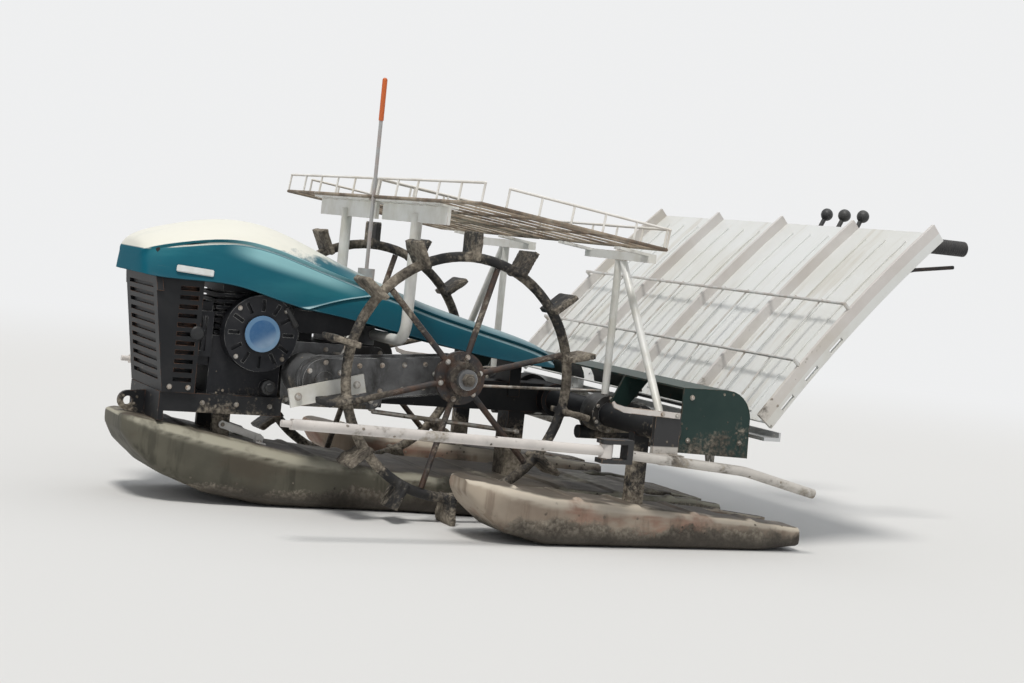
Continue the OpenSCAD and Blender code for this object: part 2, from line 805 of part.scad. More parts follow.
module tray() {
  half = tray_w / 2;
  lane = (tray_w - lane_wall_t) / lanes;
  lip = 30;
  rib_t = 8;
  shoe_w = 40;
  shoe_l = 18;
  shoe_x = gate_x + gate_lip + seat;
  floor_middle = tray_line(-tray_t / 2, tray_l / 6, 0);
  slot_l = 44;
  slot_pitch = 90;
  slot_from = 70;
  color(white) difference() {
    union() {
      across(-half, half) tray_strip(-tray_t, 0);
      for (y = [-half, half - lane_wall_t])
        across(y, y + lane_wall_t) tray_strip(-side_wall_down, -1);
      across(-half, half) tray_strip(-side_wall_down, -1, tray_l - lip, tray_l, 1);
      for (u = [120, 330, 540])
        across(-half, half) tray_strip(6 - side_wall_down, -1, u, u + rib_t, 1);
      // Low ribs that the seedling mats slide on
      for (i = [0:lanes - 1], k = [1:3])
        across(-half + lane_wall_t / 2 + lane * (i + k / 4) - 3, -half + lane_wall_t / 2 + lane * (i + k / 4) + 3)
          tray_strip(-1, 4, 20, tray_l - 40);
      // Shoes that slide on the gate rail and on the upper rail
      for (s = [-1, 1]) {
        across(s * shoe_y - shoe_w / 2, s * shoe_y + shoe_w / 2)
          polygon([[shoe_x, rail_z + gate_t + seat], [shoe_x + shoe_l, rail_z + gate_t + seat],
            [shoe_x + shoe_l, lookup(shoe_x + shoe_l, floor_middle)], [shoe_x, lookup(shoe_x, floor_middle)]]);
        on_tray(upper_rail_at) translate([-12, s * shoe_y - shoe_w / 2, -upper_rail_drop + seat])
          cube([24, shoe_w, upper_rail_drop - tray_t + 1]);
      }
    }
    // Slots in the side walls
    for (s = [-1, 1], k = [0:2])
      on_tray(slot_from + k * slot_pitch) translate([0, s * half, -side_wall_down / 2 - 2])
        cube([slot_l, 6 * lane_wall_t, 9], center = true);
  }
}

module lane_walls() {
  lane = (tray_w - lane_wall_t) / lanes;
  color(white)
    for (i = [0:lanes])
      across(-tray_w / 2 + i * lane, -tray_w / 2 + i * lane + lane_wall_t) tray_strip(0, lane_wall_h);
}

module tray_press() {
  h = lane_wall_h + 16;
  half = tray_w / 2 - lane_wall_t / 2;
  lane = (tray_w - lane_wall_t) / lanes;
  bars = [150, 330];
  lane_rod = [tray_pt(40, h - 10), tray_pt(bars[0], h - 4), tray_pt(bars[1] + 10, h - 4)];
  color([0.8, 0.82, 0.83]) {
    for (u = bars) {
      bar = tray_pt(u, h);
      foot = tray_pt(u, lane_wall_h + seat);
      shaft(bar.x, bar.y, 7, -half, half);
      for (y = [-half, half])
        rod([foot.x, y, foot.y], [bar.x, y, bar.y], 9);
    }
    for (i = [0:lanes - 1], k = [0.33, 0.67])
      bent_tube([for (p = lane_rod) [p.x, -half + lane * (i + k), p.y]], 5, [0, 1, 0], 8);
  }
}

// Upper rail behind the tray, on two struts clamped to the handle tubes
module tray_stand() {
  rail_t = 26;
  rail_w = 30;
  rail_end = 60;
  strut_w = 22;
  clamp_l = 36;
  s = tray_angle(upper_rail_at);
  normal = [sin(s), cos(s)];
  low = handle_path[1];
  high = handle_path[2];
  along = unit(high - low);
  off = tray_pt(upper_rail_at, 0) - low;
  depth = cross(along, off) / cross(along, normal);
  clamp = low + along * cross(off, normal) / cross(along, normal);
  a = clamp - along * clamp_l / 2;
  b = clamp + along * clamp_l / 2;
  color(black) difference() {
    union() {
      on_tray(upper_rail_at) {
        translate([-rail_w / 2, -tray_w / 2 + rail_end, -upper_rail_drop - rail_t])
          cube([rail_w, tray_w - 2 * rail_end, rail_t]);
        for (side = [-1, 1])
          translate([-strut_w / 2, side * handle_y - strut_w / 2, -depth])
            cube([strut_w, strut_w, depth - upper_rail_drop - 1]);
      }
      for (side = [-1, 1])
        rod([a.x, side * handle_y, a.y], [b.x, side * handle_y, b.y], handle_d + 14);
    }
    for (side = [-1, 1])
      rod([low.x, side * handle_y, low.y], [high.x, side * handle_y, high.y], handle_d + 2 * seat);
  }
}

// Racks for spare seedlings, drawn for the left side

module on_rack() {
  translate([rack_x, rack_inner, rack_z]) rotate([0, -rack_slope, 0]) children();
}

module rack_floor() {
  e = edge_wire_d;
  color(white) on_rack() {
    for (y = [0, rack_w])
      rod([0, y, 0], [rack_l, y, 0], e);
    for (x = [0, rack_l])
      rod([x, 0, 0], [x, rack_w, 0], e);
    for (x = [0, rack_l], y = [0, rack_w])
      translate([x, y, 0]) sphere(d = e);
    for (i = [1:6])
      rod([0, rack_w * i / 7, 0], [rack_l, rack_w * i / 7, 0], thin_wire_d);
    for (i = [1:2])
      rod([rack_l * i / 3, 0, 0], [rack_l * i / 3, rack_w, 0], thin_wire_d + 1);
  }
}

// A ladder of wires standing on the rack's edge, from one place to another
module ladder(from, to, steps) {
  low = edge_wire_d / 2 + seat;
  up = [0, 0, rail_h];
  rod(from + up, to + up, thin_wire_d + 1);
  for (i = [0:steps]) let (p = from + (to - from) * i / steps)
    rod(p + [0, 0, low], p + up, thin_wire_d);
  for (p = [from, to])
    translate(p + up) sphere(d = thin_wire_d + 1);
}

module rack_rails() {
  gap = 7;
  notch = 58;
  color(white) on_rack() {
    ladder([rack_l, gap, 0], [rack_l, rack_w, 0], 5);
    ladder([0, gap, 0], [0, rack_w, 0], 5);
    ladder([gap, rack_w, 0], [rack_l - notch, rack_w, 0], 5);
    ladder([gap, 0, 0], [rack_l - gap, 0, 0], 5);
  }
}

module rack_post() {
  y = post_tread / 2;
  head_w = 372;
  head_h = 40;
  head_t = 8;
  top = rack_z + (post_x - rack_x) * tan(rack_slope) - edge_wire_d;
  path = [[post_x, saddle_w / 2 + seat, post_foot_z], [post_x, y, post_foot_z], [post_x, y, top - head_h / 2]];
  color(white) {
    bent_tube(rounded(path, post_bend), post_d, [1, 0, 0]);
    translate([post_x - head_t / 2, rack_inner + 8, top - head_h]) cube([head_t, head_w, head_h]);
    on_rack() translate([rack_l - 46, 8, -edge_wire_d / 2 - 5]) cube([46, head_w, 5 - seat]);
  }
}

module rack_stay() {
  outer_y = side_y - 50;
  inner_foot = cross_z + case_d / 2 + seat;
  top = rack_z - (rack_x - stay_x) * tan(rack_slope) - edge_wire_d / 2 - 2;
  beam_l = 300;
  beam_h = 20;
  color(white) difference() {
    union() {
      rod([stay_x, case_y, inner_foot], [stay_x, case_y, top - beam_h / 2], stay_d);
      rod([stay_x, outer_y, cross_z], [stay_x, case_y + 12, top - beam_h / 2], stay_d);
      translate([stay_x - 10, case_y - beam_l / 2, top - beam_h]) cube([20, beam_l, beam_h]);
      // Strips that the racks' rear ends lie on
      for (y = [case_y - beam_l / 2, case_y + beam_l / 2 - 30])
        translate([stay_x, y, top - 1]) rotate([0, -rack_slope, 0])
          translate([0, 0, -5]) cube([rack_x + 30 - stay_x, 30, 6]);
    }
    shaft(cross_x, cross_z, cross_d + 2 * seat, outer_y - 60, side_y);
  }
}

// Side frame with its guard tube, and the folded line marker

module side_frame() {
  half = side_tube_d / 2;
  path = [for (p = guard_path) [p.x, side_y, p.y]];
  color([0.7, 0.69, 0.66]) difference() {
    union() {
      bent_tube(rounded(path, 200, 3), side_tube_d, [0, 1, 0]);
      translate([cross_x - 24, side_y - 32 + seat, 200]) cube([64, 12, 110]);
      shaft(cross_x, cross_z, cross_d, side_y - 31, side_y - 20);
      translate([cross_x - 30, side_y - 24, 196]) cube([60, 24, 22]);
      // Fork that holds the marker's pin
      for (z = [marker_z - 26, marker_z + 16])
        translate([104, side_y - 16, z]) cube([marker_x - 104 + 16, 32, 10]);
      translate([104, side_y - 16, marker_z - 26]) cube([14, 32, 52]);
      translate([marker_x, side_y, marker_z - 26]) cylinder(h = 52, d = marker_pin_d);
    }
  }
}

module marker() {
  color(white) difference() {
    union() {
      translate([marker_x, side_y, marker_z - 15]) cylinder(h = 30, d = 30);
      rod([marker_x + 8, side_y, marker_z], [marker_x + marker_l - 20, side_y, marker_z + 24], side_tube_d);
      rod([marker_x + marker_l - 21, side_y, marker_z + 24], [marker_x + marker_l, side_y, marker_z + 25], side_tube_d - 8);
    }
    translate([marker_x, side_y, marker_z - 40]) cylinder(h = 80, d = marker_pin_d + 2 * fit);
  }
}

// Handles and controls

module handlebar() {
  color(black) union() {
    for (s = [-1, 1])
      bent_tube([for (p = rounded(handle_path, handle_r)) [p.x, s * handle_y, p.y]], handle_d, [0, 1, 0]);
    shaft(console_x, handle_at(console_x), bar_d, -handle_y, handle_y);
    shaft(-400, handle_at(-400), bar_d, -handle_y, handle_y);
    // Lugs that hold the handles under the cross pipe
    difference() {
      for (s = [-1, 1])
        translate([cross_x - 26, s * handle_y - 13, handle_z]) cube([36, 26, cross_z - handle_z]);
      shaft(cross_x, cross_z, cross_d + 2 * seat, -handle_y - 40, handle_y + 40);
    }
  }
}

module grips() {
  color(rubber) for (s = [-1, 1]) translate([grip_end_x, s * handle_y, grip_z]) rotate([0, 90, 0])
    difference() {
      cylinder(h = grip_l, d = grip_d);
      translate([0, 0, grip_wall]) cylinder(h = grip_l, d = handle_d + 2 * seat);
    }
}

// A clutch lever below each grip, on a clamp round the handle tube
module clutch_levers() {
  clamp_x = -838;
  lever_d = 10;
  along = unit(handle_path[2] - handle_path[1]);
  clamp = [clamp_x, handle_at(clamp_x)];
  a = clamp - along * 13;
  b = clamp + along * 13;
  far = clamp + along * 60;
  near = clamp - along * 60;
  path = [clamp + [-8, -14], clamp + [-34, -24], clamp + [-80, -12], [grip_end_x + 26, grip_z - 50]];
  color(black) difference() {
    for (y = [-handle_y, handle_y]) {
      rod([a.x, y, a.y], [b.x, y, b.y], handle_d + 14);
      bent_tube([for (p = path) [p.x, y, p.y]], lever_d, [0, 1, 0], 8);
    }
    for (y = [-handle_y, handle_y])
      rod([near.x, y, near.y], [far.x, y, far.y], handle_d + 2 * seat);
  }
}

module control_box() {
  z = handle_at(console_x);
  knob_d = 34;
  color([0.12, 0.13, 0.14]) difference() {
    union() {
      translate([console_x - 50, -120, z + 4]) cube([100, 240, 46]);
      for (y = [-80, 0, 80]) {
        rod([console_x, y, z + 48], [console_x - 50, y, z + 150], 12);
        translate([console_x - 50, y, z + 150]) sphere(d = knob_d);
      }
    }
    shaft(console_x, z, bar_d + 2 * seat, -handle_y, handle_y);
  }
}

module centre_marker() {
  x = 500;
  tip_d = 12;
  color([0.8, 0.8, 0.8]) difference() {
    union() {
      translate([x, 0, 500]) cylinder(h = 48, d = 40);
      translate([x, 0, 540]) cylinder(h = pole_top_z - 540 - tip_d / 2, d = 9);
      translate([x, 0, pole_top_z - 100]) cylinder(h = 100 - tip_d / 2, d = tip_d);
      translate([x, 0, pole_top_z - tip_d / 2]) sphere(d = tip_d);
    }
    hood_form();
  }
}

hood();
front_grille();
engine();
recoil_starter();
air_cleaner();
muffler();
engine_bed();
gearbox();
fuel_tank();
main_beam();
drive_shaft();
union() {  // pivot_plates
  pivot_plate();
  on_right() pivot_plate();
}
swing_arm();  // arm_left
on_right() swing_arm();  // arm_right
wheel();  // wheel_left
on_right() wheel();  // wheel_right
hub();  // hub_left
on_right() hub();  // hub_right
float_body(centre_float_rows, centre_float_w, 0, [-row_pitch / 2, row_pitch / 2]);  // float_centre
float_body(side_float_rows, side_float_w, side_float_tread / 2, [1.5 * row_pitch]);  // float_left
float_body(side_float_rows, side_float_w, -side_float_tread / 2, [-1.5 * row_pitch]);  // float_right
float_links();
cross_pipe();
planting_case();  // planting_case_left
on_right() planting_case();  // planting_case_right
planting_arms();  // planting_arms_left
on_right() planting_arms();  // planting_arms_right
planting_cover();
gate_rail();
tray();
lane_walls();
tray_press();
tray_stand();
rack_post();  // rack_post_left
on_right() rack_post();  // rack_post_right
rack_stay();  // rack_stay_left
on_right() rack_stay();  // rack_stay_right
rack_floor();  // rack_left
on_right() rack_floor();  // rack_right
rack_rails();  // rack_rails_left
on_right() rack_rails();  // rack_rails_right
marker();  // marker_left
on_right() marker();  // marker_right
side_frame();  // side_frame_left
on_right() side_frame();  // side_frame_right
handlebar();
grips();
clutch_levers();
control_box();
centre_marker();
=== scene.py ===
# Looks of a walk-behind rice transplanter for four rows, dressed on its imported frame.
# Lengths are metres. +X is the way it travels, +Y its left side, +Z up, and the floor is z = 0.
import json
import math

import bmesh
import bpy
from mathutils import Matrix, Vector, noise


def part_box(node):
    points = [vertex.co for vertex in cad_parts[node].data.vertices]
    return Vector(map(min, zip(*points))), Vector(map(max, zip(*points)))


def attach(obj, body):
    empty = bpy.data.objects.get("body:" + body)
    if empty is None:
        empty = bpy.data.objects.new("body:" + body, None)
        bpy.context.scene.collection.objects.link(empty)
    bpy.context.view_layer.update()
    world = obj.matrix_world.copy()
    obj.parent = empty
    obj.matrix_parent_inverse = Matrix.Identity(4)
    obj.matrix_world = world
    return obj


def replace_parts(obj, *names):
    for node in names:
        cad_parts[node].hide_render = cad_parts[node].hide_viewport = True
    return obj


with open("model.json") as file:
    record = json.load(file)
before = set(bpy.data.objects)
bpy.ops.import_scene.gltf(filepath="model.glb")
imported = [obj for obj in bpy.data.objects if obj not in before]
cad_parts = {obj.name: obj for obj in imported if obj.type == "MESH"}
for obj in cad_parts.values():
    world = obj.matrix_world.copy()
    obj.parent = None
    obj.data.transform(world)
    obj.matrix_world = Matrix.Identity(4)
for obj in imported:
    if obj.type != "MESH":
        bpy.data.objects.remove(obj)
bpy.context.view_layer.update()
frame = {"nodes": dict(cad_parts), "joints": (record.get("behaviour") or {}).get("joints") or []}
nodes = frame["nodes"]
scene = bpy.context.scene

# Studio. The camera stands off the machine's left front corner, a little above the floor,
# as in the photograph. The floor is one pale sheet, and the world behind it is as pale.

CAMERA_AIM = Vector((0.10, 0.0, 0.402))
CAMERA_BEARING = math.radians(63.4)
CAMERA_RISE = math.radians(3.16)
CAMERA_ROLL = math.radians(5.86)
CAMERA_DISTANCE = 4.5
CAMERA_LENS = 64.5
PALE = (0.86, 0.865, 0.87)


def set_camera():
    camera = bpy.data.objects.new("camera", bpy.data.cameras.new("camera"))
    scene.collection.objects.link(camera)
    back = Vector((math.cos(CAMERA_BEARING) * math.cos(CAMERA_RISE),
                   math.sin(CAMERA_BEARING) * math.cos(CAMERA_RISE), math.sin(CAMERA_RISE)))
    turn = (-back).to_track_quat("-Z", "Y").to_matrix().to_4x4()
    place = Matrix.Translation(CAMERA_AIM + back * CAMERA_DISTANCE)
    camera.matrix_world = place @ turn @ Matrix.Rotation(CAMERA_ROLL, 4, "Z")
    camera.data.lens = CAMERA_LENS
    camera.data.clip_end = 200
    scene.camera = camera


def add_lamp(name, direction, spread, power, colour):
    """A soft distant lamp that shines from that direction."""
    lamp = bpy.data.objects.new(name, bpy.data.lights.new(name, "SUN"))
    scene.collection.objects.link(lamp)
    lamp.data.angle = math.radians(spread)
    lamp.data.energy = power
    lamp.data.color = colour
    lamp.rotation_euler = Vector(direction).to_track_quat("Z", "Y").to_euler()


def seen_ray(tree):
    """1 for what the camera sees, straight, in gloss or through glass."""
    path = tree.nodes.new("ShaderNodeLightPath")
    total = path.outputs["Is Camera Ray"]
    for kind in ("Is Glossy Ray", "Is Transmission Ray"):
        either = tree.nodes.new("ShaderNodeMath")
        either.operation = "MAXIMUM"
        tree.links.new(total, either.inputs[0])
        tree.links.new(path.outputs[kind], either.inputs[1])
        total = either.outputs[0]
    return total


def set_world():
    """Soft light from all sides, which the camera sees as one pale tone."""
    world = bpy.data.worlds.new("studio")
    world.use_nodes = True
    scene.world = world
    tree = world.node_tree
    link = tree.links.new
    lit = tree.nodes["Background"]
    lit.inputs["Color"].default_value = (0.95, 0.97, 1.0, 1)
    lit.inputs["Strength"].default_value = 0.42
    seen = tree.nodes.new("ShaderNodeBackground")
    seen.inputs["Color"].default_value = (*PALE, 1)
    mix = tree.nodes.new("ShaderNodeMixShader")
    link(seen_ray(tree), mix.inputs[0])
    link(lit.outputs[0], mix.inputs[1])
    link(seen.outputs[0], mix.inputs[2])
    link(mix.outputs[0], tree.nodes["World Output"].inputs["Surface"])


def lay_floor():
    """A pale sheet that passes into the world's own tone further out."""
    half = 60
    near = 2.6
    far = 7.0
    mesh = bpy.data.meshes.new("floor")
    mesh.from_pydata([(-half, -half, 0), (half, -half, 0), (half, half, 0), (-half, half, 0)], [],
                     [(0, 1, 2, 3)])
    floor = bpy.data.objects.new("floor", mesh)
    scene.collection.objects.link(floor)
    material = bpy.data.materials.new("floor_sheet")
    material.use_nodes = True
    tree = material.node_tree
    link = tree.links.new
    shader = tree.nodes["Principled BSDF"]
    shader.inputs["Base Color"].default_value = (0.70, 0.70, 0.695, 1)
    shader.inputs["Roughness"].default_value = 0.9
    shader.inputs["Specular IOR Level"].default_value = 0.1
    place = tree.nodes.new("ShaderNodeTexCoord")
    reach = tree.nodes.new("ShaderNodeVectorMath")
    reach.operation = "LENGTH"
    link(place.outputs["Object"], reach.inputs[0])
    fade = tree.nodes.new("ShaderNodeMapRange")
    fade.interpolation_type = "SMOOTHSTEP"
    fade.inputs["From Min"].default_value = near
    fade.inputs["From Max"].default_value = far
    link(reach.outputs["Value"], fade.inputs["Value"])
    both = tree.nodes.new("ShaderNodeMath")
    both.operation = "MULTIPLY"
    link(fade.outputs["Result"], both.inputs[0])
    link(seen_ray(tree), both.inputs[1])
    glow = tree.nodes.new("ShaderNodeEmission")
    glow.inputs["Color"].default_value = (*PALE, 1)
    mix = tree.nodes.new("ShaderNodeMixShader")
    link(both.outputs[0], mix.inputs[0])
    link(shader.outputs[0], mix.inputs[1])
    link(glow.outputs[0], mix.inputs[2])
    link(mix.outputs[0], tree.nodes["Material Output"].inputs["Surface"])
    mesh.materials.append(material)


scene.view_settings.view_transform = "Standard"
set_camera()
set_world()
lay_floor()
add_lamp("key", (0.45, 0.6, 1.5), 14, 2.1, (1.0, 0.97, 0.92))
add_lamp("sky", (-0.5, -0.3, 1.3), 50, 0.45, (0.97, 0.99, 1.0))


# Hood. Two vacuum-formed plastic covers over engine and gearbox, which lap along a slanted seam.
# They are glossy teal and bleached on top, with painted highlights, painted reflections of the sky and
# painted shade, a beaded shoulder and an open underside.

class Finish:
    """A procedural material: a ground colour, and the layers that lie on it."""

    def __init__(self, name, colour, roughness, metallic=0.0):
        self.material = bpy.data.materials.new(name)
        self.material.use_nodes = True
        self.tree = self.material.node_tree
        self.shader = self.tree.nodes["Principled BSDF"]
        coordinates = self.add("ShaderNodeTexCoord").outputs
        self.place = coordinates["Object"]
        split = self.add("ShaderNodeSeparateXYZ", {0: self.place}).outputs
        self.x = split[0]
        self.z = split[2]
        self.up = self.add("ShaderNodeSeparateXYZ", {0: coordinates["Normal"]}).outputs[2]
        self.colour = colour
        self.roughness = roughness
        self.metallic = metallic
        self.relief = None

    def add(self, kind, inputs=None, **settings):
        """A node with these settings, and with values or other nodes' outputs in its inputs."""
        node = self.tree.nodes.new(kind)
        for name, value in settings.items():
            setattr(node, name, value)
        self.feed(node, inputs or {})
        return node

    def feed(self, node, inputs):
        for name, value in inputs.items():
            socket = node.inputs[name]
            if isinstance(value, bpy.types.NodeSocket):
                self.tree.links.new(value, socket)
            elif socket.type == "RGBA":
                socket.default_value = (*value, 1)
            else:
                socket.default_value = value

    def calc(self, operation, *values, clamp=False):
        inputs = dict(enumerate(values))
        node = self.add("ShaderNodeMath", inputs, operation=operation, use_clamp=clamp)
        return node.outputs[0]

    def product(self, *values):
        total = values[0]
        for value in values[1:]:
            total = self.calc("MULTIPLY", total, value)
        return total

    def fade(self, value, start, end):
        """0 at start and 1 at end, with a soft step between."""
        inputs = {"Value": value, "From Min": start, "From Max": end}
        node = self.add("ShaderNodeMapRange", inputs, interpolation_type="SMOOTHSTEP")
        return node.outputs["Result"]

    def noise(self, scale, detail=4.0, rough=0.55, stretch=(1, 1, 1), shift=(0, 0, 0)):
        inputs = {"Vector": self.place, "Scale": stretch, "Location": shift}
        place = self.add("ShaderNodeMapping", inputs).outputs[0]
        inputs = {"Vector": place, "Scale": scale, "Detail": detail, "Roughness": rough}
        return self.add("ShaderNodeTexNoise", inputs).outputs["Fac"]

    def spots(self, scale, size):
        """Scattered round drops, 1 inside a drop."""
        node = self.add("ShaderNodeTexVoronoi", {"Vector": self.place, "Scale": scale})
        return self.fade(node.outputs["Distance"], size, size * 0.7)

    def tone(self, mask, low, high):
        """The colour low where the mask is 0 and high where it is 1."""
        return self.add("ShaderNodeMix", {0: mask, 6: low, 7: high}, data_type="RGBA").outputs[2]

    def amount(self, mask, low, high):
        """The number low where the mask is 0 and high where it is 1."""
        return self.add("ShaderNodeMix", {0: mask, 2: low, 3: high}, data_type="FLOAT").outputs[0]

    def edges(self, radius):
        """1 along outer and inner edges, 0 on open faces."""
        rounded = self.add("ShaderNodeBevel", {"Radius": radius}, samples=4).outputs[0]
        normal = self.add("ShaderNodeNewGeometry").outputs["Normal"]
        node = self.add("ShaderNodeVectorMath", {0: rounded, 1: normal}, operation="DOT_PRODUCT")
        return self.fade(node.outputs["Value"], 0.985, 0.86)

    def layer(self, mask, colour, roughness, metallic=0.0):
        """Another surface laid over the ground where the mask is 1."""
        self.colour = self.tone(mask, self.colour, colour)
        self.roughness = self.amount(mask, self.roughness, roughness)
        if metallic != self.metallic:
            self.metallic = self.amount(mask, self.metallic, metallic)

    def mottle(self, scale, colour, strength):
        """A second tone of the ground colour in broad soft clouds."""
        clouds = self.fade(self.noise(scale, 5, 0.6), 0.35, 0.7)
        self.layer(self.product(clouds, strength), colour, self.roughness, self.metallic)

    def scratch(self, strength):
        """Fine scuffs along and across the machine."""
        lines = self.fade(self.noise(26, 3, 0.7, (1, 1, 14)), 0.62, 0.72)
        self.roughness = self.amount(self.product(lines, strength), self.roughness, 0.7)
        self.emboss(lines, -0.0002)

    def emboss(self, height, distance):
        """Raises the surface by that distance where the height is 1."""
        rise = self.product(height, distance)
        self.relief = rise if self.relief is None else self.calc("ADD", self.relief, rise)

    def worn(self, colour, roughness, metallic, reach=0.002, chips=0.55):
        """Bare ground along edges and in chips."""
        broken = self.fade(self.noise(30, 4), 0.42, 0.58)
        rim = self.product(self.edges(reach), broken)
        chipped = self.fade(self.noise(48, 6, 0.7), chips, chips + 0.06)
        region = self.fade(self.noise(5, 3, 0.5, shift=(4, 2, 7)), 0.55, 0.68)
        mask = self.calc("MAXIMUM", rim, self.product(chipped, region))
        self.layer(mask, colour, roughness, metallic)
        self.emboss(mask, -0.00015)

    def mud(self, top, cover, dry=(0.27, 0.235, 0.19), wet=(0.07, 0.06, 0.05)):
        """Mud that thins out towards a height above the floor, or lies all over if top is None."""
        low = 0.7 if top is None else self.fade(self.z, top, 0.0)
        patches = self.noise(6, 9, 0.62)
        grains = self.noise(120, 3, 0.6)
        spread = self.calc("ADD", low, self.calc("MULTIPLY_ADD", patches, 1.6, -0.8))
        spread = self.calc("MULTIPLY_ADD", grains, 0.3, spread)
        crust = self.fade(spread, 1.12 - cover, 1.3 - cover)
        splashed = self.fade(spread, 0.75 - cover, 1.1 - cover)
        drops = self.product(self.spots(42, 0.16), splashed)
        mask = self.calc("MAXIMUM", crust, drops)
        damp = self.fade(self.noise(11, 5, 0.6, shift=(3, 1, 5)), 0.4, 0.62)
        ground = self.tone(damp, dry, wet)
        grain = self.tone(damp, (0.36, 0.32, 0.26), (0.12, 0.105, 0.085))
        self.layer(mask, self.tone(self.fade(grains, 0.35, 0.7), ground, grain), 0.86)
        self.emboss(self.product(mask, self.calc("ADD", grains, 0.6)), 0.0012)

    def done(self, coat=0.0, gloss=0.5):
        """Joins the layers to the shader, and gives the material."""
        inputs = {"Base Color": self.colour, "Roughness": self.roughness, "Metallic": self.metallic,
                  "Specular IOR Level": gloss, "Coat Weight": coat, "Coat Roughness": 0.12}
        if self.relief is not None:
            bump = self.add("ShaderNodeBump", {"Height": self.relief, "Distance": 1.0})
            inputs["Normal"] = bump.outputs[0]
        self.feed(self.shader, inputs)
        return self.material


def add_piece(name, mesh, body, material, sharp=40):
    """A new piece of the given mesh, with smooth shading up to that angle."""
    mesh.materials.clear()
    mesh.materials.append(material)
    mesh.shade_smooth()
    mesh.set_sharp_from_angle(angle=math.radians(sharp))
    piece = bpy.data.objects.new(name, mesh)
    scene.collection.objects.link(piece)
    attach(piece, body)
    return piece


def finish_mesh(name, build):
    mesh = bpy.data.meshes.new(name)
    bmesh.ops.recalc_face_normals(build, faces=build.faces)
    build.to_mesh(mesh)
    build.free()
    return mesh


def add_block(build, place, size, rounding):
    """A small block with rounded edges."""
    block = bmesh.new()
    bmesh.ops.create_cube(block, size=1, matrix=place @ Matrix.Diagonal((*size, 1)))
    bmesh.ops.bevel(block, geom=block.edges[:], offset=rounding, segments=2, affect="EDGES")
    mesh = bpy.data.meshes.new("block")
    block.to_mesh(mesh)
    block.free()
    build.from_mesh(mesh)


# Place along the machine, top, shoulder and lower edge, half width at shoulder and lower edge
HOOD_ROWS = [
    (1.062, 0.574, 0.552, 0.498, 0.104, 0.122),
    (1.034, 0.592, 0.563, 0.494, 0.120, 0.138),
    (0.960, 0.613, 0.580, 0.493, 0.130, 0.148),
    (0.865, 0.634, 0.594, 0.494, 0.134, 0.152),
    (0.774, 0.630, 0.580, 0.468, 0.135, 0.153),
    (0.700, 0.606, 0.556, 0.450, 0.134, 0.152),
    (0.600, 0.564, 0.528, 0.438, 0.128, 0.146),
    (0.480, 0.519, 0.494, 0.416, 0.120, 0.138),
    (0.360, 0.480, 0.460, 0.392, 0.112, 0.128),
    (0.230, 0.447, 0.430, 0.370, 0.102, 0.116),
    (0.125, 0.424, 0.408, 0.358, 0.092, 0.104),
    (0.045, 0.402, 0.388, 0.352, 0.080, 0.090),
    (0.012, 0.380, 0.370, 0.350, 0.066, 0.076),
]
HOOD_WALL = 0.0035
# How steeply the crown's arc leaves the shoulder, which is the sixth point of a section
HOOD_LEAN = math.radians(62)
SHOULDER_POINT = 5
# The seam starts here on the lower edge, runs back by its rake as it rises to the shoulder,
# and a little further back up to the middle of the crown
SEAM = 0.690
SEAM_FOOT = 0.449
SEAM_RAKE = 0.200
CROWN_RAKE = 0.030


def hood_row(x):
    """The hood's measures at a place along the machine."""
    rows = sorted(HOOD_ROWS)
    for a, b in zip(rows, rows[1:]):
        if a[0] <= x <= b[0]:
            t = (x - a[0]) / (b[0] - a[0])
            return tuple(p + (q - p) * t for p, q in zip(a, b))
    return rows[0] if x < rows[0][0] else rows[-1]


def hood_section(row, out):
    """The outline of the hood across the machine, from its left lower edge to its right one."""
    x, top, shoulder, low, half, half_low = row
    half += out
    half_low += out
    top += out
    shoulder += 0.6 * out
    # The bead along the shoulder fades out towards the nose
    bead = min(1.0, max(0.0, (1.055 - x) / 0.06))
    side = [(half_low + 0.0022, low), (half_low - 0.001, low + 0.007),
            (half_low + (half - half_low) * 0.45, low + (shoulder - low) * 0.45),
            (half + 0.0025 * bead, shoulder - 0.014), (half - 0.0035 * bead, shoulder - 0.0085),
            (half + 0.0035 * bead, shoulder - 0.002)]
    steps = 8
    crown = []
    for i in range(1, steps):
        a = HOOD_LEAN - 2 * HOOD_LEAN * i / steps
        rise = (math.cos(a) - math.cos(HOOD_LEAN)) / (1 - math.cos(HOOD_LEAN))
        crown.append((half * math.sin(a) / math.sin(HOOD_LEAN), shoulder + (top - shoulder) * rise))
    outline = side + crown + [(-y, z) for y, z in reversed(side)]
    return [Vector((x, y, z)) for y, z in outline]


def hood_ring(x, lean=0.0, out=0.0):
    """A section that leans back, by the seam's own rake where lean is 1."""
    upright = hood_section(hood_row(x), out)
    last = len(upright) - 1
    low = upright[0].z
    rise = upright[SHOULDER_POINT].z - low
    ring = []
    for k, point in enumerate(upright):
        flank = min(1.0, (point.z - low) / rise)
        crown = max(0.0, (min(k, last - k) - SHOULDER_POINT) / (last / 2 - SHOULDER_POINT))
        behind = lean * (SEAM_RAKE * flank + CROWN_RAKE * crown)
        ring.append(hood_section(hood_row(x - behind), out)[k])
    return ring


def between(start, end, shares):
    """Sections of a stretch with the seam at one end, leaning more the nearer they are to it."""
    rings = []
    for share in shares:
        lean = share if end == SEAM else 1 - share
        rings.append(hood_ring(start + (end - start) * share, lean))
    return rings


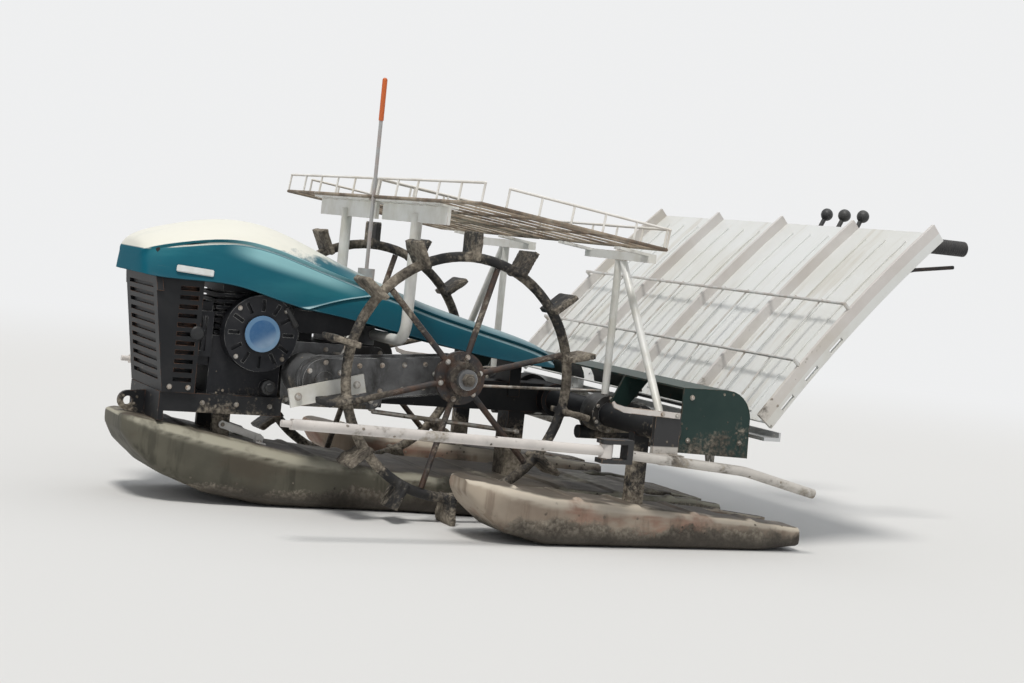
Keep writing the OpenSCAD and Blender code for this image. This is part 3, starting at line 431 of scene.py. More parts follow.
def hood_finish():
    teal = Finish("hood_teal", (0.006, 0.105, 0.15), 0.3)
    teal.mottle(3.2, (0.014, 0.17, 0.215), 0.6)
    streaks = teal.fade(teal.noise(9, 5, 0.6, (0.25, 1, 1.6)), 0.5, 0.72)
    teal.layer(teal.product(streaks, 0.3), (0.05, 0.24, 0.27), 0.4)
    # Painted shade, darker towards the lower edge of the flank
    shaded = teal.fade(teal.calc("MULTIPLY_ADD", teal.x, -0.14, teal.z), 0.41, 0.33)
    teal.layer(teal.product(shaded, 0.7), (0.004, 0.05, 0.085), 0.35)
    # A painted highlight along the shoulder's lip, and a broad painted reflection of the sky below it
    lip_highlight = teal.product(teal.fade(teal.up, 0.42, 0.56), teal.fade(teal.up, 0.76, 0.68),
                       teal.fade(teal.x, 1.03, 1.0), 0.85)
    teal.layer(lip_highlight, (0.45, 0.62, 0.66), 0.35)
    sheen = teal.fade(teal.calc("MULTIPLY_ADD", teal.x, -0.22, teal.z), 0.352, 0.378)
    sheen = teal.product(sheen, teal.fade(teal.up, 0.44, 0.4), teal.fade(teal.x, 0.52, 0.66),
                         teal.fade(teal.x, 0.9, 0.8), 0.85)
    teal.layer(sheen, (0.33, 0.62, 0.66), 0.35)
    # Height above the seam, which separates the lighter front cover from the rear one
    reach = teal.calc("SUBTRACT", SEAM, teal.x)
    slope = teal.calc("MULTIPLY_ADD", reach, -0.6, 0.36)
    above = teal.calc("SUBTRACT", teal.z, teal.product(reach, slope))
    above = teal.calc("SUBTRACT", above, SEAM_FOOT)
    teal.layer(teal.product(teal.fade(above, 0.001, -0.001), 0.35), (0.004, 0.06, 0.085), 0.35)
    # The crown, bleached by the sun and carrying a painted reflection of the sky, whose ragged edge
    # draws in towards the rear
    ahead = teal.fade(teal.x, 0.2, 0.78)
    wave = teal.calc("MULTIPLY_ADD", teal.noise(6, 7, 0.65, shift=(7, 1, 3)), 0.45, teal.x)
    start = teal.amount(teal.fade(wave, 0.80, 1.14), 0.86, 0.42)
    crown = teal.fade(teal.up, start, teal.calc("ADD", start, 0.1))
    nose = teal.fade(teal.x, 1.045, 1.058)
    crown = teal.calc("MAXIMUM", crown, teal.product(nose, teal.fade(teal.z, 0.549, 0.553)))
    # How strongly the crown shows its bleach and the painted reflection, stronger towards the front
    worn = teal.calc("MULTIPLY_ADD", ahead, 0.75, -0.12)
    worn = teal.calc("MULTIPLY_ADD", teal.noise(7, 7, 0.65, (0.5, 1, 1)), 0.9, worn)
    bleach_and_sky_reflection = teal.calc("MULTIPLY", crown, worn, clamp=True)
    teal.layer(bleach_and_sky_reflection, teal.tone(ahead, (0.36, 0.52, 0.54), (0.80, 0.79, 0.71)), 0.42)
    # Pale worn edges, with a painted highlight along the seam, and none round the nose
    rim = teal.amount(teal.fade(teal.x, 1.035, 1.045), 0.35, 0.0)
    rim = teal.amount(teal.fade(teal.calc("ABSOLUTE", above), 0.012, 0.006), rim, 0.9)
    teal.layer(teal.product(teal.edges(0.0025), rim), (0.30, 0.48, 0.52), 0.4)
    front = teal.product(teal.fade(teal.up, 0.55, 0.2), teal.fade(teal.z, 0.553, 0.549))
    teal.layer(teal.product(nose, front), (0.002, 0.10, 0.148), 0.95)
    teal.scratch(0.3)
    teal.mud(0.5, 0.2)
    return teal.done(coat=0.04, gloss=0.18)


teal_paint = hood_finish()


def add_shell(build, rings, creases):
    """Faces through open rings, their long edges creased at those places in a ring."""
    edge_layers = build.edges.layers.float
    sharpness = edge_layers.get("crease_edge") or edge_layers.new("crease_edge")
    rows = [[build.verts.new(point) for point in ring] for ring in rings]
    for ahead, behind in zip(rows, rows[1:]):
        for i in range(len(ahead) - 1):
            build.faces.new((ahead[i], behind[i], behind[i + 1], ahead[i + 1]))
    count = len(rows[0])
    for ahead, behind in zip(rows, rows[1:]):
        for place, strength in creases:
            for i in (place, count - 1 - place):
                build.edges.get((ahead[i], behind[i]))[sharpness] = strength
    return rows


def shrunk(ring, share, reach, middle):
    """A ring drawn in towards a height above the machine's middle line, and moved along it."""
    return [Vector((p.x + reach, p.y * share, middle + (p.z - middle) * share)) for p in ring]


def make_hood():
    """The front cover and the rear one, which starts below the front one's edge."""
    creases = ((0, 1.0), (SHOULDER_POINT - 1, 0.6), (SHOULDER_POINT, 0.5))
    clear_ahead = 0.75
    clear_behind = 0.40
    ahead = [row[0] for row in HOOD_ROWS if row[0] > clear_ahead]
    behind = [row[0] for row in HOOD_ROWS if row[0] < clear_behind]
    # The nose closes with two rings drawn in at the height of its lower edge
    nose = hood_ring(ahead[0])
    front = [shrunk(nose, 0.5, 0.005, nose[0].z), shrunk(nose, 0.82, 0.0035, nose[0].z)]
    front += [hood_ring(x) for x in ahead] + between(ahead[-1], SEAM, (0.25, 0.5, 0.75))
    # The front cover flares at the seam, and the rear one starts 20 mm ahead of it, below
    front += [hood_ring(SEAM + 0.012, 1, 0.001), hood_ring(SEAM, 1, 0.003)]
    rear = [hood_ring(SEAM + 0.02, 1, -0.003), hood_ring(SEAM - 0.01, 1, -0.0015)]
    rear += between(SEAM, behind[0], (0.15, 0.4, 0.7)) + [hood_ring(x) for x in behind]
    rear.append(shrunk(rear[-1], 0.72, -0.004, rear[-1][0].z))
    build = bmesh.new()
    nose_row = add_shell(build, front, creases)[0]
    tail_row = add_shell(build, rear, creases)[-1]
    build.faces.new(nose_row)
    build.faces.new(list(reversed(tail_row)))
    mesh = bpy.data.meshes.new("hood_shell")
    build.to_mesh(mesh)
    build.free()
    piece = add_piece("hood_shell", mesh, "machine", teal_paint, sharp=85)
    smooth = piece.modifiers.new("smooth", "SUBSURF")
    smooth.levels = smooth.render_levels = 3
    wall = piece.modifiers.new("wall", "SOLIDIFY")
    wall.thickness = HOOD_WALL
    wall.offset = -1
    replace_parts(piece, "hood")


make_hood()


# Each side's name, and which way it lies along Y
SIDES = (("left", 1), ("right", -1))


def bar_finish():
    bar = Finish("pale_bar", (0.74, 0.76, 0.76), 0.35)
    bar.mottle(40, (0.6, 0.6, 0.56), 0.5)
    bar.mud(0.6, 0.15)
    return bar.done()


def add_bars(material):
    """The blank light bar on each flank of the hood."""
    x, y, z = 0.955, 0.1465, 0.513
    size = (0.082, 0.006, 0.015)
    toe_in = math.radians(4)
    lean = math.radians(11)
    fall = math.radians(4)
    for side, s in SIDES:
        build = bmesh.new()
        turn = Matrix.Rotation(-s * toe_in, 4, "Z") @ Matrix.Rotation(s * lean, 4, "X")
        place = Matrix.Translation((x, s * y, z)) @ turn @ Matrix.Rotation(-fall, 4, "Y")
        add_block(build, place, size, 0.0018)
        name = "hood_bar_" + side
        add_piece(name, finish_mesh(name, build), "machine", material)


add_bars(bar_finish())


# Engine group. A small four-stroke engine with recoil starter, air cleaner and muffler, all in
# black, stands on a pressed steel bed behind a slotted grille. Only the starter's cap is light.

def dress(node, material):
    """Gives a CAD node its finish, and smooth shading across its flatter edges."""
    piece = nodes[node]
    mesh = piece.data
    mesh.materials.clear()
    mesh.materials.append(material)
    if "custom_normal" in mesh.attributes:
        mesh.attributes.remove(mesh.attributes["custom_normal"])
    for face in mesh.polygons:
        face.use_smooth = True
    weld = piece.modifiers.new("weld", "WELD")
    weld.merge_threshold = 0.00002
    split = piece.modifiers.new("split", "EDGE_SPLIT")
    split.split_angle = math.radians(32)


def join_rings(build, rings):
    """Faces round closed rings of the same count, and across both ends."""
    for low, high in zip(rings, rings[1:]):
        for k in range(len(low)):
            n = (k + 1) % len(low)
            build.faces.new((low[k], low[n], high[n], high[k]))
    build.faces.new(list(reversed(rings[0])))
    build.faces.new(rings[-1])


def turned(build, at, sides, profile):
    """A closed turned solid of (radius, height) pairs, or a prism when it has few sides."""
    rings = []
    for radius, height in profile:
        ring = []
        for k in range(sides):
            a = 2 * math.pi * k / sides
            point = Vector((radius * math.cos(a), radius * math.sin(a), height))
            ring.append(build.verts.new(at @ point))
        rings.append(ring)
    join_rings(build, rings)


def facing(place, direction):
    """Puts a turned solid at a place, its axis in a direction."""
    return Matrix.Translation(place) @ Vector(direction).to_track_quat("Z", "Y").to_matrix().to_4x4()


def add_bolts(name, body, size, places):
    """Hexagon bolts on washers, each given by its seat and the way it faces."""
    washer = [(1.05, 0), (1.1, 0.05), (1.05, 0.2)]
    head = [(0.9, 0.2), (0.9, 0.72), (0.72, 0.88)]
    build = bmesh.new()
    for seat, direction in places:
        for sides, profile in ((20, washer), (6, head)):
            scaled = [(radius * size, height * size) for radius, height in profile]
            turned(build, facing(seat, direction), sides, scaled)
    add_piece(name, finish_mesh(name, build), body, bolt_zinc, sharp=25)


def circle_of(centre, radius, count, facing_y, start=0):
    """Seats evenly round a centre, in a plane across Y, the first one at start degrees."""
    seats = []
    for k in range(count):
        a = math.radians(start + 360 * k / count)
        spot = (centre[0] + radius * math.cos(a), centre[1], centre[2] + radius * math.sin(a))
        seats.append((spot, (0, facing_y, 0)))
    return seats


DARK_MUD = {"dry": (0.17, 0.145, 0.115), "wet": (0.045, 0.038, 0.032)}


def black_finish():
    black = Finish("black_frame_paint", (0.010, 0.011, 0.013), 0.52)
    black.mottle(9, (0.028, 0.028, 0.029), 0.6)
    black.worn((0.17, 0.085, 0.05), 0.8, 0.0, chips=0.62)
    black.mud(0.42, 0.42, **DARK_MUD)
    return black.done(gloss=0.25)


def engine_finish():
    paint = Finish("engine_black", (0.010, 0.011, 0.014), 0.48)
    paint.mottle(16, (0.03, 0.03, 0.033), 0.7)
    paint.emboss(paint.noise(300, 2, 0.5), 0.0002)
    paint.worn((0.32, 0.32, 0.31), 0.45, 0.8, chips=0.66)
    paint.mud(0.5, 0.3)
    return paint.done(gloss=0.25)


def exhaust_finish():
    steel = Finish("rusted_exhaust", (0.2, 0.15, 0.12), 0.75, 0.3)
    steel.mottle(20, (0.34, 0.14, 0.06), 0.9)
    steel.mottle(55, (0.08, 0.07, 0.07), 0.7)
    steel.emboss(steel.noise(180, 4, 0.6), 0.0005)
    return steel.done()


def zinc_finish():
    zinc = Finish("bolt_zinc", (0.5, 0.49, 0.46), 0.4, 0.85)
    zinc.mottle(60, (0.3, 0.2, 0.13), 0.7)
    zinc.mud(None, 0.28)
    return zinc.done()


def cap_finish(centre):
    """Blue plastic, with a painted highlight over its lower half, and paler round its rim."""
    cap = Finish("starter_cap_blue", (0.025, 0.105, 0.25), 0.35)
    below = cap.fade(cap.calc("MULTIPLY_ADD", cap.x, 0.6, cap.z), 0.862, 0.832)
    cap.layer(cap.product(below, 0.7), (0.32, 0.44, 0.58), 0.4)
    middle = (centre.x, centre.y + 0.011, centre.z)
    away = cap.add("ShaderNodeVectorMath", {0: cap.place, 1: middle}, operation="DISTANCE")
    ring = cap.product(cap.fade(away.outputs["Value"], 0.031, 0.033), 0.6)
    cap.layer(ring, (0.18, 0.32, 0.48), 0.4)
    cap.mottle(45, (0.10, 0.20, 0.32), 0.35)
    cap.mud(0.5, 0.2)
    return cap.done(coat=0.1, gloss=0.35)


black_paint = black_finish()
engine_paint = engine_finish()
rusted_steel = exhaust_finish()
bolt_zinc = zinc_finish()

for name in ("engine", "recoil_starter", "air_cleaner", "fuel_tank"):
    dress(name, engine_paint)
dress("muffler", rusted_steel)
for name in ("engine_bed", "front_grille"):
    dress(name, black_paint)


def add_starter_cap():
    """A domed cap in the middle of the starter, and the screws of its housing."""
    low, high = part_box("recoil_starter")
    centre = Vector(((low.x + high.x) / 2, high.y, (low.z + high.z) / 2))
    radius = 0.0405
    build = bmesh.new()
    dome = [(radius, 0.0)]
    for k in range(1, 9):
        a = math.radians(10 * k)
        share = 0.86 + 0.14 * math.cos(a) if k < 4 else 0.93 * (1 - (k - 3) / 6)
        dome.append((radius * share, 0.0012 + 0.0034 * math.sin(a)))
    turned(build, facing(centre, (0, 1, 0)), 64, dome)
    mesh = finish_mesh("starter_cap", build)
    add_piece("starter_cap", mesh, "machine", cap_finish(centre))
    places = circle_of((centre.x, centre.y - 0.008, centre.z), 0.076, 4, 1, 45)
    add_bolts("starter_bolts", "machine", 0.005, places)


add_starter_cap()


def add_turned(name, body, material, solids, sharp=30):
    """Turned details, each given by its seat, the way it faces, its sides and its profile."""
    build = bmesh.new()
    for seat, direction, sides, profile in solids:
        turned(build, facing(seat, direction), sides, profile)
    add_piece(name, finish_mesh(name, build), body, material, sharp)


def rod_between(start, end, radius):
    """A rod with rounded ends, for add_turned."""
    along = end - start
    end_cap = [(radius * 0.5, 0), (radius * 0.9, radius * 0.2), (radius, radius * 0.5)]
    far_cap = [(r, along.length - height) for r, height in reversed(end_cap)]
    return start, along, 16, end_cap + far_cap


def add_engine_details():
    """Knob of the air cleaner, oil plug, starter pull, and the bolts of bed and grille."""
    knob = [(0.006, 0), (0.006, 0.004), (0.015, 0.005), (0.016, 0.008), (0.016, 0.015),
            (0.013, 0.018), (0.004, 0.019)]
    plug = [(0.016, 0), (0.017, 0.001), (0.017, 0.006), (0.011, 0.008), (0.011, 0.016), (0.009, 0.018)]
    left = (0, 1, 0)
    solids = [((0.932, 0.1138, 0.376), left, 20, knob), ((0.758, 0.1236, 0.266), left, 8, plug)]
    grip = Vector((0.7235, 0.139, 0.428))
    reach = Vector((0.014, 0, 0.022))
    solids.append(rod_between(grip - reach, grip + reach, 0.007))
    solids.append(rod_between(grip - Vector((0, 0.012, 0)), grip, 0.005))
    add_turned("engine_knobs", "machine", grip_black, solids)
    seats = []
    for s in (1, -1):
        seats += [((x, s * 0.128, 0.256), (0, s, 0)) for x in (0.942, 0.984)]
        seats += [((x, s * 0.120, 0.223), (0, s, 0)) for x in (0.748, 0.826, 0.904)]
    add_bolts("bed_bolts", "machine", 0.0055, seats)


def add_screens():
    """Folded gauze inside the louvred wings of the grille, which keeps straw off the engine."""
    rear = 0.932
    foot = 0.983
    rake = math.radians(8)
    face = 0.1168
    fold = 0.0012
    folds = 84
    low = 0.247
    high = 0.498
    for side, s in SIDES:
        build = bmesh.new()
        rows = []
        for k in range(folds + 1):
            z = low + (high - low) * k / folds
            front = foot + (z - low) * math.tan(rake)
            y = s * (face + fold * (k % 2))
            rows.append([build.verts.new((x, y, z)) for x in (rear, (rear + front) / 2, front)])
        for a, b in zip(rows, rows[1:]):
            for k in range(2):
                build.faces.new((a[k], a[k + 1], b[k + 1], b[k]))
        mesh = finish_mesh("grille_screen", build)
        piece = add_piece("grille_screen_" + side, mesh, "machine", black_paint, sharp=20)
        wall = piece.modifiers.new("wall", "SOLIDIFY")
        wall.thickness = 0.0008


def knob_finish():
    plastic = Finish("knob_plastic", (0.02, 0.021, 0.023), 0.45)
    plastic.mottle(50, (0.045, 0.044, 0.042), 0.6)
    return plastic.done(gloss=0.35)


grip_black = knob_finish()
add_engine_details()
add_screens()


# Drive castings. Gearbox, swing arms and planting cases are bare sand-cast aluminium, bolted
# together. Each swing arm turns on a stub of the gearbox, held by a white steel plate.

def cast_finish():
    cast = Finish("bare_casting", (0.20, 0.203, 0.207), 0.48, 0.6)
    cast.mottle(14, (0.085, 0.085, 0.086), 0.8)
    grease = cast.fade(cast.noise(7, 7, 0.65, (1, 1, 0.6), (5, 0, 2)), 0.44, 0.6)
    cast.layer(cast.product(grease, 0.9), (0.022, 0.020, 0.018), 0.42, 0.1)
    cast.emboss(cast.noise(260, 3, 0.6), 0.0003)
    cast.worn((0.6, 0.6, 0.58), 0.35, 0.9, chips=0.7)
    cast.mud(0.46, 0.5, dry=(0.19, 0.165, 0.13), wet=(0.05, 0.043, 0.036))
    return cast.done(gloss=0.35)


def white_finish():
    white = Finish("white_frame_paint", (0.80, 0.80, 0.77), 0.36)
    white.mottle(12, (0.58, 0.56, 0.48), 0.7)
    white.worn((0.24, 0.13, 0.08), 0.8, 0.0, chips=0.64)
    white.mud(0.42, 0.36)
    return white.done(coat=0.1)


casting = cast_finish()
white_paint = white_finish()
for name in ("gearbox", "arm_left", "arm_right", "planting_case_left", "planting_case_right"):
    dress(name, casting)
for name in ("main_beam", "drive_shaft", "cross_pipe", "float_links"):
    dress(name, black_paint)
dress("pivot_plates", white_paint)


def joint_place(name):
    """Where a joint's axis crosses the machine's middle plane."""
    for joint in frame["joints"]:
        if joint["name"] == name:
            return Vector((joint["pos_m"][0], 0.0, joint["pos_m"][2]))


PIVOT = joint_place("arm_left_lift")
AXLE = joint_place("wheel_left_spin")
ARM_FACE = 0.240
AXLE_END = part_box("arm_left")[1].y
PLATE_LEAN = math.radians(14)


def bolt_arm(side, s):
    """Rings of bolts round pivot and axle, and two rows between them."""
    seats = circle_of((PIVOT.x, s * ARM_FACE, PIVOT.z), 0.041, 6, s, 30)
    seats += circle_of((AXLE.x, s * ARM_FACE, AXLE.z), 0.0345, 6, s)
    for share in (0.27, 0.45, 0.63, 0.8):
        at = PIVOT.lerp(AXLE, share)
        half = 0.040 - 0.007 * share
        for up in (-1, 1):
            seats.append(((at.x, s * ARM_FACE, at.z + up * (half - 0.008)), (0, s, 0)))
    add_bolts("arm_bolts_" + side, "arm_" + side, 0.0055, seats)


def bolt_castings(side, s):
    """The bolts of pivot plate, gearbox and planting case."""
    low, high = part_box("pivot_plates")
    middle = Vector(((low.x + high.x) / 2, s * high.y, (low.z + high.z) / 2))
    along = Vector((math.cos(PLATE_LEAN), 0, -math.sin(PLATE_LEAN)))
    seats = [(middle + along * reach, (0, s, 0)) for reach in (-0.069, 0.069)]
    add_bolts("plate_bolts_" + side, "machine", 0.008, seats)
    seats = circle_of((0.560, s * 0.140, 0.300), 0.039, 6, s, 30)
    seats += circle_of((0.510, s * 0.130, 0.276), 0.027, 3, s, 150)
    seats += [((x, s * 0.100, z), (0, s, 0)) for x in (0.486, 0.620, 0.704) for z in (0.240, 0.358)]
    add_bolts("gearbox_bolts_" + side, "machine", 0.0055, seats)
    seats = []
    for face, way in ((0.330, 1), (0.270, -1)):
        seats += circle_of((-0.095, s * face, 0.262), 0.027, 5, s * way)
        seats += circle_of((-0.005, s * face, 0.270), 0.037, 6, s * way, 30)
    add_bolts("case_bolts_" + side, "machine", 0.0045, seats)


def add_axle_nut(side, s):
    nut = [(0.0155, 0), (0.0155, 0.009), (0.0135, 0.011)]
    stub = [(0.009, 0), (0.009, 0.015), (0.0075, 0.017)]
    end = (AXLE.x, s * AXLE_END, AXLE.z)
    solids = [(end, (0, s, 0), 6, nut), (end, (0, s, 0), 16, stub)]
    add_turned("axle_nut_" + side, "arm_" + side, bolt_zinc, solids)


def add_control_rod(side, s):
    """A thin rod from the gearbox to the planting case, with an eye at each end."""
    front = Vector((0.504, s * 0.1365, 0.296))
    back = Vector((-0.030, s * 0.262, 0.3175))
    solids = [rod_between(front, back, 0.0035)]
    for at in (front, back):
        solids.append(rod_between(at - Vector((0, s * 0.012, 0)), at + Vector((0, s * 0.006, 0)), 0.006))
    add_turned("control_rod_" + side, "machine", bolt_zinc, solids)


def add_gear_lever():
    """A bent lever on the left of the gearbox, with a white knob."""
    knob = [(0.004, 0), (0.008, 0.003), (0.0095, 0.010), (0.008, 0.017), (0.003, 0.020)]
    seat = Vector((0.600, 0.0995, 0.350))
    bend = Vector((0.600, 0.152, 0.352))
    tip = Vector((0.590, 0.155, 0.378))
    solids = [rod_between(seat, bend, 0.0045), rod_between(bend, tip, 0.0045)]
    add_turned("gear_lever", "machine", bolt_zinc, solids)
    knob_solids = [(tip, (-0.3, 0, 1), 20, knob)]
    add_turned("gear_lever_knob", "machine", white_paint, knob_solids)


def add_depth_rod():
    """The rod that sets the height of the centre float."""
    front = Vector((0.486, 0.082, 0.2205))
    back = Vector((0.088, 0.0425, 0.186))
    solids = [rod_between(front, back, 0.0055),
              rod_between(front, front + Vector((0, 0, 0.008)), 0.009),
              rod_between(back - Vector((0, 0.0135, 0)), back + Vector((0, 0.009, 0)), 0.008)]
    add_turned("float_depth_rod", "machine", bolt_zinc, solids)


for side, s in SIDES:
    bolt_arm(side, s)
    bolt_castings(side, s)
    add_axle_nut(side, s)
    add_control_rod(side, s)
add_gear_lever()
add_depth_rod()


# Wheels. Steel rims with rubber lugs on six spokes, coated all round with mud from the field,
# so their skins are rounded and lumpy.

def muddy_skin(node, name, body, material, lift, voxel, soften=1):
    """A CAD node's form with rounded edges, its points moved out by lift(point, normal)."""
    source = nodes[node]
    model = bpy.data.objects.new(name + "_form", source.data.copy())
    scene.collection.objects.link(model)
    weld = model.modifiers.new("weld", "WELD")
    weld.merge_threshold = 0.00002
    cells = model.modifiers.new("cells", "REMESH")
    cells.mode = "VOXEL"
    cells.voxel_size = voxel
    smooth = model.modifiers.new("smooth", "SMOOTH")
    smooth.factor = 0.5
    smooth.iterations = soften
    graph = bpy.context.evaluated_depsgraph_get()
    mesh = bpy.data.meshes.new_from_object(model.evaluated_get(graph))
    bpy.data.objects.remove(model)
    normals = [v.normal.copy() for v in mesh.vertices]
    for vertex, normal in zip(mesh.vertices, normals):
        vertex.co += normal * lift(vertex.co, normal)
    mesh.name = name
    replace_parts(add_piece(name, mesh, body, material, sharp=70), node)


def wheel_lift(point, normal):
    """Mud that is smooth on the rim, with clods on the lugs, and stays above the floor."""
    rim = 0.292
    reach = math.hypot(point.x - AXLE.x, point.z - AXLE.z)
    outside = min(1.0, max(0.0, (reach - rim) / 0.012))
    clods = max(0.0, noise.noise(point * 24) - 0.15) * outside
    rise = clods * 0.007 + noise.noise(point * 75) * 0.0004 - 0.0004
    return min(rise, AXLE.z - reach - 0.0006)


def rubber_finish():
    rubber = Finish("lug_rubber", (0.02, 0.02, 0.021), 0.6)
    rubber.mottle(24, (0.05, 0.048, 0.045), 0.7)
    rubber.mud(None, 0.4, **DARK_MUD)
    return rubber.done(gloss=0.3)


def hub_finish():
    steel = Finish("hub_steel", (0.05, 0.05, 0.052), 0.45, 0.4)
    steel.mottle(26, (0.14, 0.075, 0.045), 0.6)
    steel.mud(None, 0.34, **DARK_MUD)
    return steel.done(gloss=0.3)


lug_rubber = rubber_finish()
hub_steel = hub_finish()
for side, s in SIDES:
    wheel = "wheel_" + side
    muddy_skin(wheel, "wheel_skin_" + side, wheel, lug_rubber, wheel_lift, voxel=0.004)
    dress("hub_" + side, hub_steel)
    seats = circle_of((AXLE.x, s * 0.306, AXLE.z), 0.049, 6, s, 45)
    add_bolts("hub_bolts_" + side, wheel, 0.006, seats)


# Floats. Hollow moulded plastic, beige under a crust of dried mud, dark with wet mud along the
# bottom and on the nose. The planted rows pass through the slots at their rear.

def float_lift(point, normal):
    """A thin crust on top, over moulded ribs that end short of the edges."""
    if normal.z < 0.5 or point.x > 1.0:
        return noise.noise(point * 40) * 0.0004 - 0.0008
    crust = max(0.0, noise.fractal(point * 9, 0.9, 2.1, 4) + 0.05)
    pitch = 0.15
    off_rib = abs((point.x + 2) % pitch - pitch / 2)
    rib = max(0.0, 1 - off_rib / 0.014) if normal.z > 0.985 else 0.0
    return crust * 0.0018 + min(1.0, 1.6 * rib) * 0.004 + noise.noise(point * 70) * 0.0003


def float_finish(name, flank, shade, stain, stained, rim):
    """Moulded plastic with a painted highlight along its upper edge, silt on top, drips down its sides
    and a damp foot.
    """
    plastic = Finish(name, flank, 0.6)
    plastic.mottle(4, shade, 0.7)
    blots = plastic.fade(plastic.noise(5.5, 6, 0.6, (0.6, 1, 1.6), (2.3, 0, 1)), 0.47, 0.6)
    plastic.layer(plastic.product(blots, stained), stain, 0.7)
    drips = plastic.fade(plastic.noise(30, 5, 0.6, (1, 1, 0.12)), 0.5, 0.64)
    plastic.layer(plastic.product(drips, 0.6), shade, 0.75)
    # Painted highlight on the upper faces, broken up in patches
    highlight_patches = plastic.fade(plastic.noise(9, 5), 0.3, 0.5)
    edge = plastic.product(plastic.fade(plastic.up, 0.15, 0.5), highlight_patches, 0.9)
    plastic.layer(edge, rim, 0.65)
    settled = plastic.fade(plastic.noise(7, 6), 0.32, 0.5)
    top = plastic.product(plastic.fade(plastic.up, 0.9, 0.99), settled)
    silt = plastic.tone(plastic.noise(20, 6), (0.05, 0.042, 0.034), (0.15, 0.125, 0.098))
    plastic.layer(top, silt, 0.6)
    plastic.mud(0.13, 0.34, **DARK_MUD)
    damp = plastic.fade(plastic.calc("MULTIPLY_ADD", plastic.noise(9, 6), 0.06, plastic.z), 0.085, 0.045)
    plastic.layer(plastic.product(damp, 0.9), (0.045, 0.038, 0.03), 0.35)
    return plastic.done(gloss=0.3)


# The last colour given is the painted highlight along each float's upper edge
centre_plastic = float_finish("centre_float_plastic", (0.115, 0.108, 0.082), (0.042, 0.04, 0.03),
                              (0.07, 0.052, 0.036), 0.4, (0.42, 0.40, 0.32))
side_plastic = float_finish("side_float_plastic", (0.40, 0.34, 0.27), (0.19, 0.14, 0.105),
                            (0.25, 0.10, 0.065), 0.6, (0.58, 0.52, 0.43))
for name, material in (("float_centre", centre_plastic), ("float_left", side_plastic),
                       ("float_right", side_plastic)):
    muddy_skin(name, name + "_skin", "machine", material, float_lift,
               voxel=0.006, soften=3)


def add_plate(build, middle, size, tilt):
    """A small plate, its front end tilted up by that angle."""
    add_block(build, Matrix.Translation(middle) @ Matrix.Rotation(-tilt, 4, "Y"), size, 0.0012)


def add_float_straps():
    """Pale straps from the centre float's front links back to feet bolted on its top."""
    float_slope = math.atan(0.2)
    boss = [(0.0085, 0), (0.0088, 0.0006), (0.0088, 0.0042), (0.0082, 0.0048)]
    for side, s in SIDES:
        front = Vector((0.838, s * 0.0685, 0.172))
        back = Vector((0.750, s * 0.0685, 0.146))
        along = front - back
        middle = (front + back) / 2 + Vector((0, s * 0.002, 0))
        build = bmesh.new()
        add_plate(build, middle, (along.length, 0.004, 0.0165), math.atan2(along.z, along.x))
        add_plate(build, back + Vector((0, s * 0.002, -0.004)), (0.022, 0.004, 0.018), float_slope)
        add_plate(build, back + Vector((0, s * 0.011, -0.011)), (0.026, 0.022, 0.004), float_slope)
        for end in (front, back):
            turned(build, facing(end, (0, s, 0)), 24, boss)
        name = "float_strap_" + side
        add_piece(name, finish_mesh(name, build), "machine", strap_white, sharp=35)
        seats = [(front + Vector((0, s * 0.0048, 0)), (0, s, 0)),
                 (back + Vector((0, s * 0.012, -0.009)), (-0.2, 0, 1))]
        add_bolts("strap_bolts_" + side, "machine", 0.0045, seats)


def strap_finish():
    paint = Finish("strap_white", (0.78, 0.77, 0.75), 0.42)
    paint.mottle(30, (0.55, 0.52, 0.47), 0.5)
    paint.mud(0.42, 0.08)
    return paint.done()


strap_white = strap_finish()
add_float_straps()


# Planting section. Four arms on crank shafts carry steel claws past notches in the gate rail,
# under a folded sheet cover painted dark green.

def alloy_finish():
    alloy = Finish("planting_alloy", (0.46, 0.455, 0.43), 0.46, 0.6)
    alloy.mottle(30, (0.26, 0.25, 0.23), 0.6)
    alloy.emboss(alloy.noise(300, 3, 0.6), 0.0002)
    alloy.mud(None, 0.36)
    return alloy.done()


def cover_finish():
    sheet = Finish("cover_green", (0.008, 0.026, 0.023), 0.45)
    sheet.mottle(6, (0.02, 0.042, 0.036), 0.7)
    sheet.worn((0.2, 0.11, 0.07), 0.75, 0.0, chips=0.63)
    sheet.mud(0.5, 0.4, dry=(0.15, 0.13, 0.105), wet=(0.04, 0.036, 0.03))
    return sheet.done(gloss=0.3)


def rail_finish():
    rail = Finish("gate_aluminium", (0.55, 0.56, 0.56), 0.4, 0.8)
    rail.scratch(0.6)
    rail.mottle(18, (0.35, 0.34, 0.32), 0.5)
    rail.mud(0.5, 0.42)
    return rail.done()


alloy = alloy_finish()
for name in ("planting_arms_left", "planting_arms_right"):
    dress(name, alloy)
dress("planting_cover", cover_finish())
dress("gate_rail", rail_finish())
cover_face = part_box("planting_cover")[1].y
cover_seats = []
for s in (1, -1):
    for x, z in ((-0.055, 0.345), (-0.055, 0.25), (-0.19, 0.25)):
        cover_seats.append(((x, s * cover_face, z), (0, s, 0)))
add_bolts("cover_bolts", "machine", 0.0055, cover_seats)


# Seedling tray. White plastic floor with low ribs and five walls, on a black stand behind it,
# with zinc-plated rods that keep the seedling mats down.

def tray_finish(name, ground, shade, mud_top):
    white = Finish(name, ground, 0.4)
    white.mottle(4, shade, 0.7)
    drips = white.fade(white.noise(20, 5, 0.65, (0.12, 1, 0.12)), 0.52, 0.7)
    white.layer(white.product(drips, 0.5), (0.5, 0.46, 0.38), 0.55)
    white.scratch(0.4)
    white.mud(mud_top, 0.3)
    return white.done(coat=0.1)


